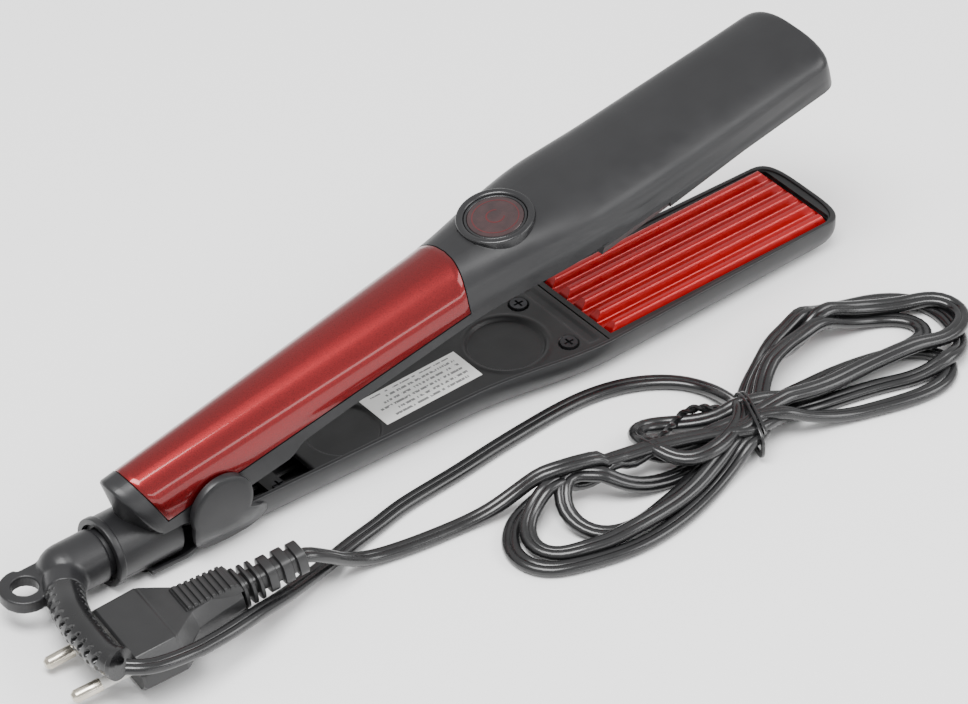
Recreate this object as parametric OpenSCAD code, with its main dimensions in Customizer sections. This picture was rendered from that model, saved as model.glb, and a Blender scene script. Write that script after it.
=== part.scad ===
// Hair crimper: two hinged arms with interlocking ribbed plates, a power button,
// a swivelling cord entry with a hanging loop, and a mains cord with its plug.
// Millimetres. X runs from the hinge to the nose, Z is up, Z = 0 is the rest surface.

/* [View] */
// Which sub-part to draw, or all of them

/* [Arms] */
// Distance from the hinge axis to the nose tip
arm_length = 239;  // [199:1:290]
// Resting opening angle, degrees
opening = 12.4;  // [8:0.1:15]
// Overall width of both arms at the rear end of the plates
head_width = 40.8;  // [36:0.2:50]
// Overall width of both arms at the nose
nose_width = 36.8;  // [35:0.2:48]
// Overall width where the grip starts to widen
grip_width = 28.2;  // [24:0.2:34]
// Overall width at the hinge
hinge_width = 22.2;  // [20:0.2:27]
// Height of the lower arm's rim above the rest surface
rim_z = 12;  // [11:0.1:14]
// Shell wall thickness
wall = 1.5;  // [1.2:0.1:2]
// Thickness of the red handle shell
skin = 1.2;  // [0.8:0.1:1.4]

/* [Plates] */
// Length of a crimp plate
plate_length = 90;  // [70:1:110]
// Distance from one ridge to the next
pitch = 7.14;  // [5.8:0.02:7.2]
// Height of a ridge above the valley
ridge_height = 3;  // [2.2:0.1:3.2]
// Room left between the two closed plates
plate_gap = 0.5;  // [0.3:0.1:1]

/* [Hinge] */
// Radius of the round ears on the lower arm
ear_r = 10.8;  // [9:0.1:12.5]
// Thickness of an ear
ear_wall = 1.9;  // [1.5:0.1:3]
// Radius of the hinge pin
pin_r = 1.5;  // [1.2:0.1:2]
// Radial clearance of the running fits
fit = 0.05;  // [0.02:0.01:0.1]

/* [Button] */
// Outside radius of the bezel
bezel_r = 12;  // [10:0.1:12.5]
// Radius of the moving cap
cap_r = 9.6;  // [8:0.1:10]
// How far the cap can be pressed
press = 1.4;  // [0.8:0.1:1.6]

/* [Cord entry] */
// Outside radius of the socket at the rear
socket_r = 10.4;  // [9.8:0.1:12]
// Radius of the swivel neck outside the socket
neck_r = 8.3;  // [7.5:0.1:9]
// Radius of the hole in the hanging loop
loop_hole_r = 4.1;  // [3:0.1:5]
// Width and height of the flat two-core cord
cord = [5.4, 3.3];

/* [Hidden] */
$fn = 48;

// Stations along the arms
plate_end = arm_length - 4.4;
plate_start = plate_end - plate_length;
flare_length = 55;
flare_start = plate_start - flare_length;
cover_start = 36.5;
cover_end = plate_start - 2.5;
cover_length = cover_end - cover_start;
screw_x = cover_start + 0.9 * cover_length;
screw_y = 12.1;
button_x = cover_start + 0.784 * cover_length;
red_front = cover_start + 0.6 * cover_length;
clamp_x = 26;
lower_rear = -24;

// Heights
mate_z = rim_z + 1;
hinge_v = 4.6;
hinge_z = mate_z + hinge_v;
valley_z = mate_z - ridge_height;
plate_base = 1.8;
frame_low = rim_z - 5;
cover_thick = 2;
cover_drop = 1.7;
socket_z = 10.4;
pin_reach = hinge_width / 2 + 1.8;
ear_in = hinge_width / 2 + 0.7;
ear_out = ear_in + ear_wall;

// Socket and swivel, along X
socket_rear = -35.3;
socket_front = -12;
bush_r = socket_r - 1.4;
journal_r = bush_r - 1.6;
seam_z = socket_z - 4;
loop_x = -61.4;

// Upper arm profile, [distance from the hinge, height above the mating plane]
upper_rear = -27;
crown_line = [[-30, 26.5], [45, 25.2], [flare_start, 24.4], [flare_start + 30, 23.2],
    [plate_start, 20.8], [plate_start + 22, 18.9], [arm_length, 14.6]];
base_line = [[0, 10], [flare_start, 10], [plate_start, 9], [plate_start + 20, 7.5]];
rim_line = [[-12, 8.5], [-5, 3.5], [0, 3], [27, 3], [31, 6], [48, 6.6],
    [cover_end, 7.5], [plate_start + 20, 5], [plate_start + 52, 3.2], [arm_length, 1.5]];
red_edge = 10.6;

// Plug, measured along its own axis from the face
plug_at = [-53.9, -34.5, 7.2];
plug_turn = [-4, 9, -8.7];
pin_gap = 18.6;
plug_half = 6.85;

// Cord routes over the rest surface, chosen by hand
lead_route = [[-61.9, -50.5, 17.2], [-61.1, -52, 17.2], [-59.3, -53.4, 17], [-56.8, -54.3, 16.7],
    [-53.5, -54.8, 16.2], [-50, -55, 15.7], [-46.5, -55, 15.1], [-43, -54.8, 14.5], [-39, -54.2, 13.6],
    [-30, -52.6, 12.2], [-22, -51.5, 11.6], [-15, -49.7, 10.6], [-8.5, -47.9, 9], [-2, -45.9, 7],
    [4, -43.8, 4.8], [11, -41.4, 3.2], [19, -38.9, 2.2], [28, -36, 2], [39, -33.6, 2], [51, -31, 2], [63, -30, 2], [75, -29.2, 2], [89, -27.7, 2], [102, -26.7, 2],
    [116, -26, 2], [128, -26.6, 2], [139, -29.4, 2], [148, -34.2, 2], [155, -41, 2.4], [158, -49, 3]];
plug_route = [[7, -44, 16.6], [14, -45, 12.5], [21, -44.5, 7], [29, -43.8, 3], [39, -46, 2],
    [53, -47.8, 2], [66, -49.5, 2], [80, -51, 2], [94, -53, 2], [108, -55.5, 2],
    [121, -57.5, 2], [134, -59.8, 2.4], [142, -62, 3]];
relief_route = [[-48, -2, 10.4], [-51.6, -5.5, 10.6], [-55.4, -12, 11.7], [-58.8, -19.8, 13.5],
    [-61.2, -28, 14.5], [-62.4, -35, 15.2], [-63.2, -41, 16], [-63.2, -45.4, 16.7], [-62.5, -48.5, 17]];
tie_at = [153, -71];
tie_turn = -22;

function smooth(t) = let (c = min(max(t, 0), 1)) c * c * (3 - 2 * c);
function grip_at(x) = (hinge_width + (grip_width - hinge_width) * x / flare_start) / 2;
function head_at(x) = (head_width - (head_width - nose_width) * (x - plate_start)
    / (arm_length - plate_start)) / 2;
function half_width(x) = let (f = pow(smooth((x - flare_start) / flare_length), 1.4))
    grip_at(x) * (1 - f) + head_at(x) * f;
function cover_z(x) = rim_z - 0.5 - cover_drop * (cover_end - x) / cover_length;

// Plan outline of an arm from x0 to a blunt nose at x1, drawn in by inset
function stops(x0, x1) = concat([x0], [for (x = [-16, -9, -4, 9, 27, 31, (31 + flare_start) / 2,
    flare_start, flare_start + 11, flare_start + 22, flare_start + 33, flare_start + 44,
    plate_start, plate_start + 20, plate_start + 44, plate_start + 66])
    if (x > x0 + 2 && x < x1 - 12) x]);
function side(x0, x1, inset) = [for (x = stops(x0, x1)) [x, half_width(x) - inset]];
function nose(x1, inset) = [for (b = [90:-15:0]) [x1 - 10 + 10 * pow(cos(b), 0.53),
    (half_width(x1 - 10) - inset) * pow(sin(b), 0.53)]];
function mirrored(p, skip) = [for (i = [len(p) - 1 - skip:-1:0]) [p[i].x, -p[i].y]];
function nosed(x0, x1, inset) = let (p = concat(side(x0, x1, inset), nose(x1, inset)))
    concat(p, mirrored(p, 1));
function blunt(x0, x1, inset) = let (p = concat(side(x0, x1 + 10, inset),
    [[x1, half_width(x1) - inset]])) concat(p, mirrored(p, 0));
function at_height(p, z) = [for (q = p) [q.x, q.y, z]];

// Solid through a stack of rings, lowest first, each with the same points
module loft(rings) {
    n = len(rings[0]);
    top = (len(rings) - 1) * n;
    quads = [for (i = [0:floor(n / 2) - 2]) [i, i + 1, n - 2 - i, n - 1 - i]];
    h = (n - 1) / 2;
    tip = n % 2 == 1 ? [[h - 1, h, h + 1]] : [];
    caps = concat([for (q = quads) [q[0], q[1], q[2]]], [for (q = quads) [q[0], q[2], q[3]]], tip);
    walls = [for (k = [0:len(rings) - 2]) for (i = [0:n - 1]) let (j = (i + 1) % n)
        for (f = [[k * n + i, k * n + j, (k + 1) * n + j],
            [k * n + i, (k + 1) * n + j, (k + 1) * n + i]]) f];
    polyhedron([for (r = rings) for (p = r) p], concat(walls,
        [for (c = caps) [c[0] + top, c[1] + top, c[2] + top]],
        [for (c = caps) [c[2], c[1], c[0]]]));
}

// Closed tube along a route; size = [width, height] at the start, last = the same at the end
function unit(v) = v / norm(v);
function along(route, i) = unit(route[min(i + 1, len(route) - 1)] - route[max(i - 1, 0)]);
module tube(route, size, last, sides = 8) {
    n = len(route);
    points = [for (i = [0:n - 1]) let (t = along(route, i), w = unit(cross([0, 0, 1], t)),
        h = cross(t, w), s = size + (last - size) * i / (n - 1))
        for (k = [0:sides - 1]) let (a = 360 * (k + 0.5) / sides)
            route[i] + (w * s[0] * cos(a) + h * s[1] * sin(a)) / 2];
    polyhedron(points, concat(
        [for (i = [0:n - 2]) for (k = [0:sides - 1]) let (j = (k + 1) % sides)
            for (f = [[i * sides + k, (i + 1) * sides + k, (i + 1) * sides + j],
                [i * sides + k, (i + 1) * sides + j, i * sides + j]]) f],
        [[for (k = [0:sides - 1]) k], [for (k = [sides - 1:-1:0]) (n - 1) * sides + k]]));
}

// Places the upper arm, drawn closed from the mating plane up, at its resting angle
module upper_frame() {
    translate([0, 0, hinge_z]) rotate([0, -opening, 0]) translate([0, 0, -hinge_v]) children();
}
module lower_frame() {
    translate([0, 0, hinge_v]) rotate([0, opening, 0]) translate([0, 0, -hinge_z]) children();
}
module rod_x(x0, x1, r) {
    translate([x0, 0, 0]) rotate([0, 90, 0]) cylinder(r = r, h = x1 - x0);
}
module rod_y(y0, y1, r) {
    translate([0, y1, 0]) rotate([90, 0, 0]) cylinder(r = r, h = y1 - y0);
}
module box(x0, x1, y0, y1, z0, z1) {
    translate([x0, y0, z0]) cube([x1 - x0, y1 - y0, z1 - z0]);
}
module both_sides() {
    for (s = [1, -1]) scale([1, s, 1]) children();
}

// Cross-slotted screw pointing down, head top at z = 0
module screw(head_r, shaft_r, shaft) {
    difference() {
        union() {
            translate([0, 0, -1.6]) cylinder(r = head_r, h = 1.6);
            translate([0, 0, -1.6 - shaft]) cylinder(r = shaft_r, h = shaft);
        }
        for (a = [0, 90]) rotate([0, 0, a]) box(-1.7, 1.7, -0.35, 0.35, -0.8, 1);
    }
}

// Ridged plate profile, valleys at height 0, centred ridges
module ridges(ridge_count, length) {
    reach = 2 * pitch + 2.1;
    rotate([90, 0, 90]) linear_extrude(length) polygon(concat(
        [[-reach, -plate_base], [reach, -plate_base], [reach, 0]],
        [for (i = [(ridge_count - 1) / 2:-1:-(ridge_count - 1) / 2])
            for (q = [[2.1, 0], [0.8, ridge_height], [-0.8, ridge_height], [-2.1, 0]])
                [i * pitch + q[0], q[1]]],
        [[-reach, 0]]));
}
module crimp_plate(ridge_count) {
    difference() {
        ridges(ridge_count, plate_length);
        translate([plate_length, -25, 0]) rotate([0, -42, 0]) cube([9, 50, 9]);
        translate([0, -25, 0]) rotate([0, -48, 0]) cube([9, 50, 9]);
        translate([0, 0, -9]) linear_extrude(20) difference() {
            translate([plate_length - 12, -25]) square([20, 50]);
            translate([-plate_start, 0])
                polygon(nosed(plate_start - 20, arm_length - wall - 0.3, wall + 0.3));
        }
    }
}

// Outer form of the lower arm's shell, drawn in by t
module lower_form(t, top) {
    loft(concat(
        [for (a = [0:18:90]) at_height(nosed(lower_rear + t, arm_length - t - 6 * (1 - sin(a)),
            t + 7.5 * (1 - sin(a))), t + (9 - t) * (1 - cos(a)))],
        [at_height(nosed(lower_rear + t, arm_length - t, t), top)]));
}
module ear() {
    translate([0, 0, hinge_z]) rod_y(ear_in, ear_out, ear_r);
    hull() {
        box(-8, 9, ear_in - 2.5, ear_out, rim_z - 2, rim_z);
        box(-10, 24, ear_in - 2.5, ear_in - 0.4, 5, rim_z);
    }
}

module lower_shell() color("#1b1b1d") {
    difference() {
        union() {
            difference() {
                lower_form(0, rim_z);
                lower_form(wall, rim_z + 1);
                translate([-12.5, 0, 13.2]) rod_y(-30, 30, 9.4);
                box(-30, -12.5, -30, 30, 3.8, 30);
            }
            intersection() {
                translate([0, 0, socket_z]) rod_x(socket_rear, -13, socket_r);
                box(-40, 0, -20, 20, 0, seam_z);
            }
            both_sides() ear();
            for (s = [1, -1]) translate([screw_x, s * screw_y, wall])
                cylinder(r = 3.2, h = cover_z(screw_x) - cover_thick - wall - 0.05);
            for (s = [1, -1]) translate([clamp_x, s * 5, wall]) cylinder(r = 2, h = 2);
        }
        translate([0, 0, socket_z]) rod_x(-40, -11, bush_r);
        box(-15, socket_front, -20, 20, seam_z, 30);
        translate([0, 0, hinge_z]) rod_y(-pin_reach, pin_reach, pin_r);
        for (s = [1, -1]) translate([screw_x, s * screw_y, 3]) cylinder(r = 1.3, h = 9);
        for (s = [1, -1]) translate([clamp_x, s * 5, 2]) cylinder(r = 0.9, h = 5);
    }
}
module socket_cap() color("#19191b") {
    difference() {
        translate([0, 0, socket_z]) union() {
            rod_x(socket_rear, socket_front, socket_r);
            rod_x(socket_rear, socket_rear + 2.2, socket_r + 0.5);
        }
        translate([0, 0, socket_z]) rod_x(socket_rear - 1, socket_front - 1.2, bush_r);
        translate([0, 0, socket_z]) rod_x(-20, 0, 3.2);
        box(-40, 0, -20, 20, -5, seam_z);
    }
}
module lower_inner_cover() color("#202022") {
    recess_r = 0.115 * cover_length;
    difference() {
        loft([for (k = [[0.4, cover_thick], [0, 0.6], [0.4, 0]])
            [for (p = blunt(cover_start + k[0], cover_end, wall + k[0]))
                [p.x, p.y, cover_z(p.x) - k[1]]]]);
        translate([cover_start + 0.758 * cover_length, 0, cover_z(button_x) - 1.2])
            cylinder(r = recess_r, h = 9);
        intersection() {
            translate([cover_start + 0.165 * cover_length, 0, cover_z(50) - 1])
                cylinder(r = recess_r * 0.95, h = 9);
            box(0, 99, -grip_width / 2 + 3.6, grip_width / 2 - 3.6, 0, 30);
        }
        for (s = [1, -1]) translate([screw_x, s * screw_y, 0]) {
            cylinder(r = 1.3, h = 30);
            translate([0, 0, cover_z(screw_x) - 1.2]) cylinder(r = 3, h = 9);
        }
    }
}
module lower_cover_screws() color("#3a3a3c") {
    for (s = [1, -1]) translate([screw_x, s * screw_y, cover_z(screw_x) + 0.4])
        screw(2.7, 1.3, 6.5);
}
module lower_heater_frame() color("#242427") {
    top = valley_z + 0.2;
    difference() {
        loft([at_height(nosed(cover_end + 0.2, arm_length - wall - 0.8, wall + 0.8), frame_low),
            at_height(nosed(cover_end + 0.2, arm_length - wall, wall), rim_z - 3),
            at_height(nosed(cover_end + 0.2, arm_length - wall, wall), top)]);
        box(plate_start, plate_end, -2 * pitch - 2.1, 2 * pitch + 2.1, valley_z - plate_base, 30);
        box(plate_start + 16, plate_end - 16, -8, 8, 0, 30);
    }
}
module lower_crimp_plate() color("#c3141c") {
    translate([plate_start, 0, valley_z]) crimp_plate(5);
}
module lower_heater() color("#e8e4da") {
    box(plate_start + 20, plate_end - 20, -6, 6, valley_z - plate_base - 2.4, valley_z - plate_base);
}
module heater_clip(low, foot) {
    box(plate_start + 28, plate_end - 28, -10, 10, low - 0.5, low);
    both_sides() box(plate_start + 28, plate_end - 28, 8.4, 10, low, foot);
}
module lower_heater_clip() color("#b9bcc0") {
    heater_clip(valley_z - plate_base - 2.4, frame_low);
}
module thermal_fuse() color("#c8b070") {
    translate([plate_start + 9, 0, frame_low - 1.5]) {
        rod_x(-5, 5, 1.5);
        rod_x(-8, 8, 0.4);
    }
}
module rating_label() color("#d9d9d2") {
    x0 = cover_start + 0.274 * cover_length;
    length = 0.345 * cover_length;
    translate([x0, 0, cover_z(x0)]) rotate([0, -atan(cover_drop / cover_length), 0])
        box(0, length, -7, 7, 0, 0.15);
}
module hinge_pin() color("#b9bcc0") {
    translate([0, 0, hinge_z]) rod_y(-pin_reach, pin_reach, pin_r);
}
module opening_spring() color("#b9bcc0") {
    turns = 5;
    coil = [for (i = [0:turns * 12]) let (a = -60 + 30 * i) [2.7 * cos(a), -4 + 8 * i / (turns * 12),
        hinge_z + 2.7 * sin(a)]];
    tube(concat([[15, -3, 2.7], [8, -3.6, 9]], coil, [[2, 4.2, hinge_z - 3.6], [15, 4.4, 27]]),
        [0.9, 0.9], [0.9, 0.9], 6);
}
module cord_clamp() color("#2a2a2c") {
    difference() {
        box(clamp_x - 3, clamp_x + 3, -7, 7, wall + 2, wall + 4);
        for (s = [1, -1]) translate([clamp_x, s * 5, 0]) cylinder(r = 0.9, h = 20);
    }
}
module clamp_screws() color("#3a3a3c") {
    for (s = [1, -1]) translate([clamp_x, s * 5, wall + 5.6]) screw(1.9, 0.9, 3.4);
}
module swivel_bush() color("#1b1b1c") {
    difference() {
        translate([0, 0, socket_z]) rod_x(socket_rear + 1.8, -19.5, bush_r);
        translate([0, 0, socket_z]) rod_x(-40, 0, journal_r + fit);
    }
}
module lower_leads() color("#1d1d1f") {
    for (s = [1, -1]) tube([[-15.5, s * 1.3, 10], [-11, s * 1.3, 9], [-7, s * 1.5, 6.5], [2, s * 1.6, 3.4],
        [14, s * 1.6, 2.6], [30, s * 2, 2.6], [70, s * 3, 2.5], [plate_start - 12, s * 3, 2.7],
        [plate_start + 16, s * 4.2, 3.4], [plate_start + 24, s * 4.4, 5]], [1.6, 1.6], [1.6, 1.6], 8);
}

// Height and plan of the upper arm's outside at roundness angle a, drawn in by t
function crown(x, t) = lookup(x, crown_line) - t;
function fullness(x) = 2.2 + 0.8 * smooth((x - flare_start) / flare_length);
function skin_v(x, a, t) = lookup(x, base_line) + (crown(x, t) - lookup(x, base_line))
    * pow(sin(a), 2 / fullness(x));
function arm_ring(a, t, back = 0) = [for (p = nosed(upper_rear + t - back + 0.35 * (25 - skin_v(-25, a, t)),
    arm_length - t - 2 * (1 - pow(cos(a), 1.2)), t))
    [p.x, p.y * pow(cos(a), 2 / fullness(p.x)), skin_v(p.x, a, t)]];
function low_ring(t, back = 0) = nosed(upper_rear + 5.8 + t - back, arm_length - t, t);
module upper_form(t) {
    loft(concat([[for (p = low_ring(t)) [p.x, p.y, lookup(p.x, rim_line)]]],
        [for (a = [0, 8, 18, 30, 42, 54, 66, 78]) arm_ring(a, t)]));
}
module upper_hollow() {
    deep = wall + skin;
    loft(concat([at_height(low_ring(wall, 9), -6), at_height(low_ring(wall, 9), 8.9)],
        [for (a = [4, 18, 30, 42, 54, 66, 78]) arm_ring(a, deep, 9)]));
}
module red_region() {
    difference() {
        union() {
            box(-40, red_front - 25, -30, 30, red_edge, 40);
            translate([red_front - 25, 0, red_edge]) cylinder(r = 25, h = 30, $fn = 96);
        }
        translate([upper_rear + 5.6, -30, 26]) rotate([0, -16.7, 0]) box(-40, 0, 0, 60, -40, 20);
    }
}
module upper_shell() color("#1c1c1e") upper_frame() {
    difference() {
        union() {
            difference() {
                upper_form(0);
                upper_hollow();
                difference() {
                    red_region();
                    upper_form(skin);
                }
            }
            both_sides() translate([0, 0, hinge_v]) rod_y(5, hinge_width / 2 - 0.2, 4.4);
            for (s = [1, -1]) translate([screw_x, s * screw_y * 0.8, 8.8]) cylinder(r = 3, h = 9);
        }
        translate([0, 0, hinge_v]) rod_y(-20, 20, pin_r + fit);
        lower_frame() translate([0, 0, socket_z]) rod_x(-60, -9, socket_r + 0.9);
        button_frame() translate([0, 0, -6]) cylinder(r = bezel_r, h = 12);
        for (s = [1, -1]) translate([screw_x, s * screw_y * 0.8, 8]) cylinder(r = 1.3, h = 6);
    }
}
module handle_shell() color("#b5121b") upper_frame() {
    difference() {
        intersection() {
            upper_form(0);
            red_region();
        }
        upper_form(skin);
    }
}
module upper_inner_cover() color("#202022") upper_frame() {
    difference() {
        loft([at_height(blunt(30, cover_end, wall), 7.1), at_height(blunt(30, cover_end, wall), 8.8)]);
        for (s = [1, -1]) translate([screw_x, s * screw_y * 0.8, 0]) {
            cylinder(r = 1.3, h = 30);
            cylinder(r = 3, h = 7.7);
        }
    }
}
module upper_cover_screws() color("#3a3a3c") upper_frame() {
    for (s = [1, -1]) translate([screw_x, s * screw_y * 0.8, 6.1]) rotate([180, 0, 0])
        screw(2.7, 1.3, 5.5);
}
module upper_heater_frame() color("#242427") upper_frame() {
    difference() {
        loft([at_height(nosed(cover_end + 0.2, arm_length - wall - 0.5, wall + 0.5), 0.7),
            at_height(nosed(cover_end + 0.2, arm_length - wall, wall), 1.4),
            at_height(nosed(cover_end + 0.2, arm_length - wall, wall), 5.5)]);
        box(plate_start, plate_end, -2 * pitch - 2.1, 2 * pitch + 2.1, -9, plate_gap + plate_base);
        box(plate_start + 16, plate_end - 16, -8, 8, -9, 30);
        both_sides() translate([cover_end - 1, head_width / 2 - 3.2, 0.6])
            rotate([-24, 0, 0]) box(0, 28, 0, 9, -9, 9);
    }
}
module upper_crimp_plate() color("#c3141c") upper_frame() {
    translate([plate_start, 0, plate_gap]) scale([1, 1, -1]) crimp_plate(4);
}
module upper_heater() color("#e8e4da") upper_frame() {
    box(plate_start + 20, plate_end - 20, -6, 6, plate_gap + plate_base, plate_gap + plate_base + 4);
}
module upper_heater_clip() color("#b9bcc0") upper_frame() {
    top = plate_gap + plate_base + 4;
    box(plate_start + 28, plate_end - 28, -10, 10, top, top + 0.5);
    both_sides() box(plate_start + 28, plate_end - 28, 8.4, 10, 5.5, top);
}

// Frame at the button's centre on the upper arm, tilted with the crown
module button_frame() {
    translate([button_x, 0, lookup(button_x, crown_line)]) rotate([0, 3.5, 0]) children();
}
module control_board() color("#24603a") upper_frame() {
    box(button_x - 28, button_x + 7, -9.5, 9.5, 8.8, 10.4);
}
module push_switch() color("#2b2b2b") upper_frame() {
    box(button_x - 4, button_x + 3, -3.5, 3.5, 10.4, 13.4);
    translate([button_x - 0.5, 0, 13.4]) cylinder(r = 1.6, h = 0.9);
}
module status_led() color("#c8382e") upper_frame() {
    translate([button_x - 8, 0, 10.4]) cylinder(r = 1.5, h = 3);
}
module upper_leads() color("#1d1d1f") upper_frame() {
    for (s = [1, -1]) tube([[-8, s * 2, 14], [10, s * 3, 14], [34, s * 4, 10], [60, s * 4, 9.8],
        [button_x - 30, s * 4, 9.8], [button_x - 28, s * 4, 9.8]], [1.6, 1.6], [1.6, 1.6], 8);
    for (s = [1, -1]) tube([[button_x + 7, s * 4, 9.8], [plate_start + 6, s * 4, 9.4],
        [plate_start + 20, s * 4.2, 7.9], [plate_start + 25, s * 4.2, 7.1]], [1.6, 1.6], [1.6, 1.6], 8);
}
module button_bezel() color("#151517") upper_frame() button_frame() {
    difference() {
        union() {
            translate([0, 0, -4.5]) cylinder(r = bezel_r, h = 4.9);
            translate([0, 0, 0.4]) cylinder(r1 = bezel_r, r2 = bezel_r - 0.8, h = 0.4);
        }
        translate([0, 0, -9]) cylinder(r = cap_r + 0.08, h = 12);
    }
}
module button_cap() color("#1a1a1c") upper_frame() button_frame() {
    difference() {
        translate([0, 0, -4]) cylinder(r = cap_r, h = 4.3);
        translate([0, 0, -0.6]) cylinder(r = cap_r - 1.4, h = 3);
    }
    translate([0, 0, -7.2]) cylinder(r = 2, h = 3.2);
}
module button_lens() color("#2c1214") upper_frame() button_frame() {
    translate([0, 0, -0.6]) cylinder(r = cap_r - 1.4, h = 0.9);
}

module swivel_elbow() color("#19191b") {
    difference() {
        union() {
            translate([0, 0, socket_z]) {
                rod_x(-47.5, socket_rear - 0.6, neck_r);
                translate([-47.5, 0, 0]) sphere(r = neck_r);
                rod_x(socket_rear - 0.6, -19, journal_r);
                rod_x(-19.1, -17.1, bush_r - 0.4);
            }
            translate([loop_x, 0, socket_z - 2]) cylinder(r = loop_hole_r + 3.9, h = 4);
            box(loop_x, -50, -loop_hole_r - 2.4, loop_hole_r + 2.4, socket_z - 2, socket_z + 2);
        }
        translate([0, 0, socket_z]) rod_x(-48, 0, 2.6);
        translate([loop_x, 0, 0]) cylinder(r = loop_hole_r, h = 40);
    }
}
module cord_relief() color("#171719") {
    difference() {
        tube(relief_route, [13, 13], [8.6, 8.6], 16);
        translate([-47.5, 0, socket_z]) sphere(r = neck_r);
    }
}
module relief_collar() color("#171719") {
    tip = relief_route[len(relief_route) - 1];
    tube([tip, tip + [0.2, -0.8, 0.05], tip + [0.4, -1.5, 0.1]], [9.4, 9.4], [8.4, 8.4], 16);
}

// Plug frame: X from the pin face back along the cord, Z across the thickness
module plug_frame() {
    translate(plug_at) rotate([0, 0, plug_turn[2]]) rotate([0, -plug_turn[1], 0])
        rotate([plug_turn[0], 0, 0]) children();
}
module plug_body() color("#161618") plug_frame() {
    intersection() {
        translate([0, 0, -plug_half]) linear_extrude(2 * plug_half) polygon([[0, -15.5], [2.5, -17.65],
            [13, -17.65], [18, -13], [22, -9], [38, -6.4], [38, 6.4], [22, 9], [18, 13], [13, 17.65],
            [2.5, 17.65], [0, 15.5]]);
        rotate([90, 0, 0]) translate([0, 0, -20]) linear_extrude(40) polygon([[0, -5.8], [1, -6.6],
            [14, -6.8], [38, -5.4], [38, 5.4], [14, 6.8], [1, 6.6], [0, 5.8]]);
        rotate([90, 0, 90]) linear_extrude(40) polygon([[-17.65, -2.4], [-13, -6.85], [13, -6.85],
            [17.65, -2.4], [17.65, 2.4], [13, 6.85], [-13, 6.85], [-17.65, 2.4]]);
    }
    for (i = [0:7]) both_faces() box(17 + 2.5 * i, 18.3 + 2.5 * i, -6.4, 6.4, 5, 7.4 - 0.12 * i);
}
module both_faces() {
    for (s = [1, -1]) scale([1, 1, s]) children();
}
module plug_pins() color("#c9c2b0") plug_frame() {
    both_sides() translate([0, pin_gap / 2, 0]) rotate([0, 0, 1.6]) {
        rod_x(-10, 0, 1.4);
        rod_x(-18, -10, 2);
        translate([-19, 0, 0]) rotate([0, 90, 0]) cylinder(r1 = 1.2, r2 = 2, h = 1);
    }
}
module pin_sleeves() color("#cfcbc2") plug_frame() {
    both_sides() translate([0, pin_gap / 2, 0]) rotate([0, 0, 1.6]) difference() {
        rod_x(-10, -0.3, 1.75);
        rod_x(-11, 1, 1.4);
    }
}
module plug_relief() color("#161618") plug_frame() {
    for (i = [0:4]) rod_x(38 + 4.4 * i, 41 + 4.4 * i, 5.6 - 0.35 * i);
    rod_x(38, 61, 3.1);
}
module cord_lead() color("#111113") {
    tube(lead_route, cord, cord, 8);
}
module cord_plug_end() color("#111113") {
    tube(plug_route, cord, cord, 8);
}
module hank_outline() {
    hull() {
        translate([211, -67]) scale([1, 0.86]) circle(r = 31, $fn = 28);
        translate(tie_at) circle(r = 12, $fn = 16);
    }
    hull() {
        translate([86, -72]) scale([1, 0.82]) circle(r = 23, $fn = 24);
        translate(tie_at) circle(r = 12, $fn = 16);
    }
}
module cord_hank() color("#111113") {
    translate([0, 0, 0.5]) linear_extrude(10.5) hank_outline();
}
module twist_tie() color("#0e0e10") {
    difference() {
        translate([tie_at.x, tie_at.y, 0]) rotate([0, 0, tie_turn]) box(-1.5, 1.5, -13.5, 13.5, 0, 12);
        translate([0, 0, 0.5]) linear_extrude(10.5) hank_outline();
    }
}

lower_shell();
socket_cap();
lower_inner_cover();
lower_cover_screws();
lower_heater_frame();
lower_crimp_plate();
lower_heater();
lower_heater_clip();
thermal_fuse();
rating_label();
hinge_pin();
opening_spring();
cord_clamp();
clamp_screws();
swivel_bush();
lower_leads();
upper_shell();
handle_shell();
upper_inner_cover();
upper_cover_screws();
upper_heater_frame();
upper_crimp_plate();
upper_heater();
upper_heater_clip();
control_board();
push_switch();
status_led();
upper_leads();
button_bezel();
button_cap();
button_lens();
swivel_elbow();
cord_relief();
relief_collar();
plug_body();
plug_pins();
pin_sleeves();
plug_relief();
cord_lead();
cord_plug_end();
cord_hank();
twist_tie();
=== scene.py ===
"""Looks of the hair crimper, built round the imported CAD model.

The frame is the part's own: X runs from the hinge to the nose, Z is up and the rest
surface is Z = 0. Sizes are written in millimetres and scaled by MM when a mesh is made.
"""

from math import acos, asin, copysign, cos, degrees, exp, hypot, pi, radians, remainder, sin, sqrt

import bmesh
import bpy
import numpy as np
from mathutils import Matrix, Vector


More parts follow.
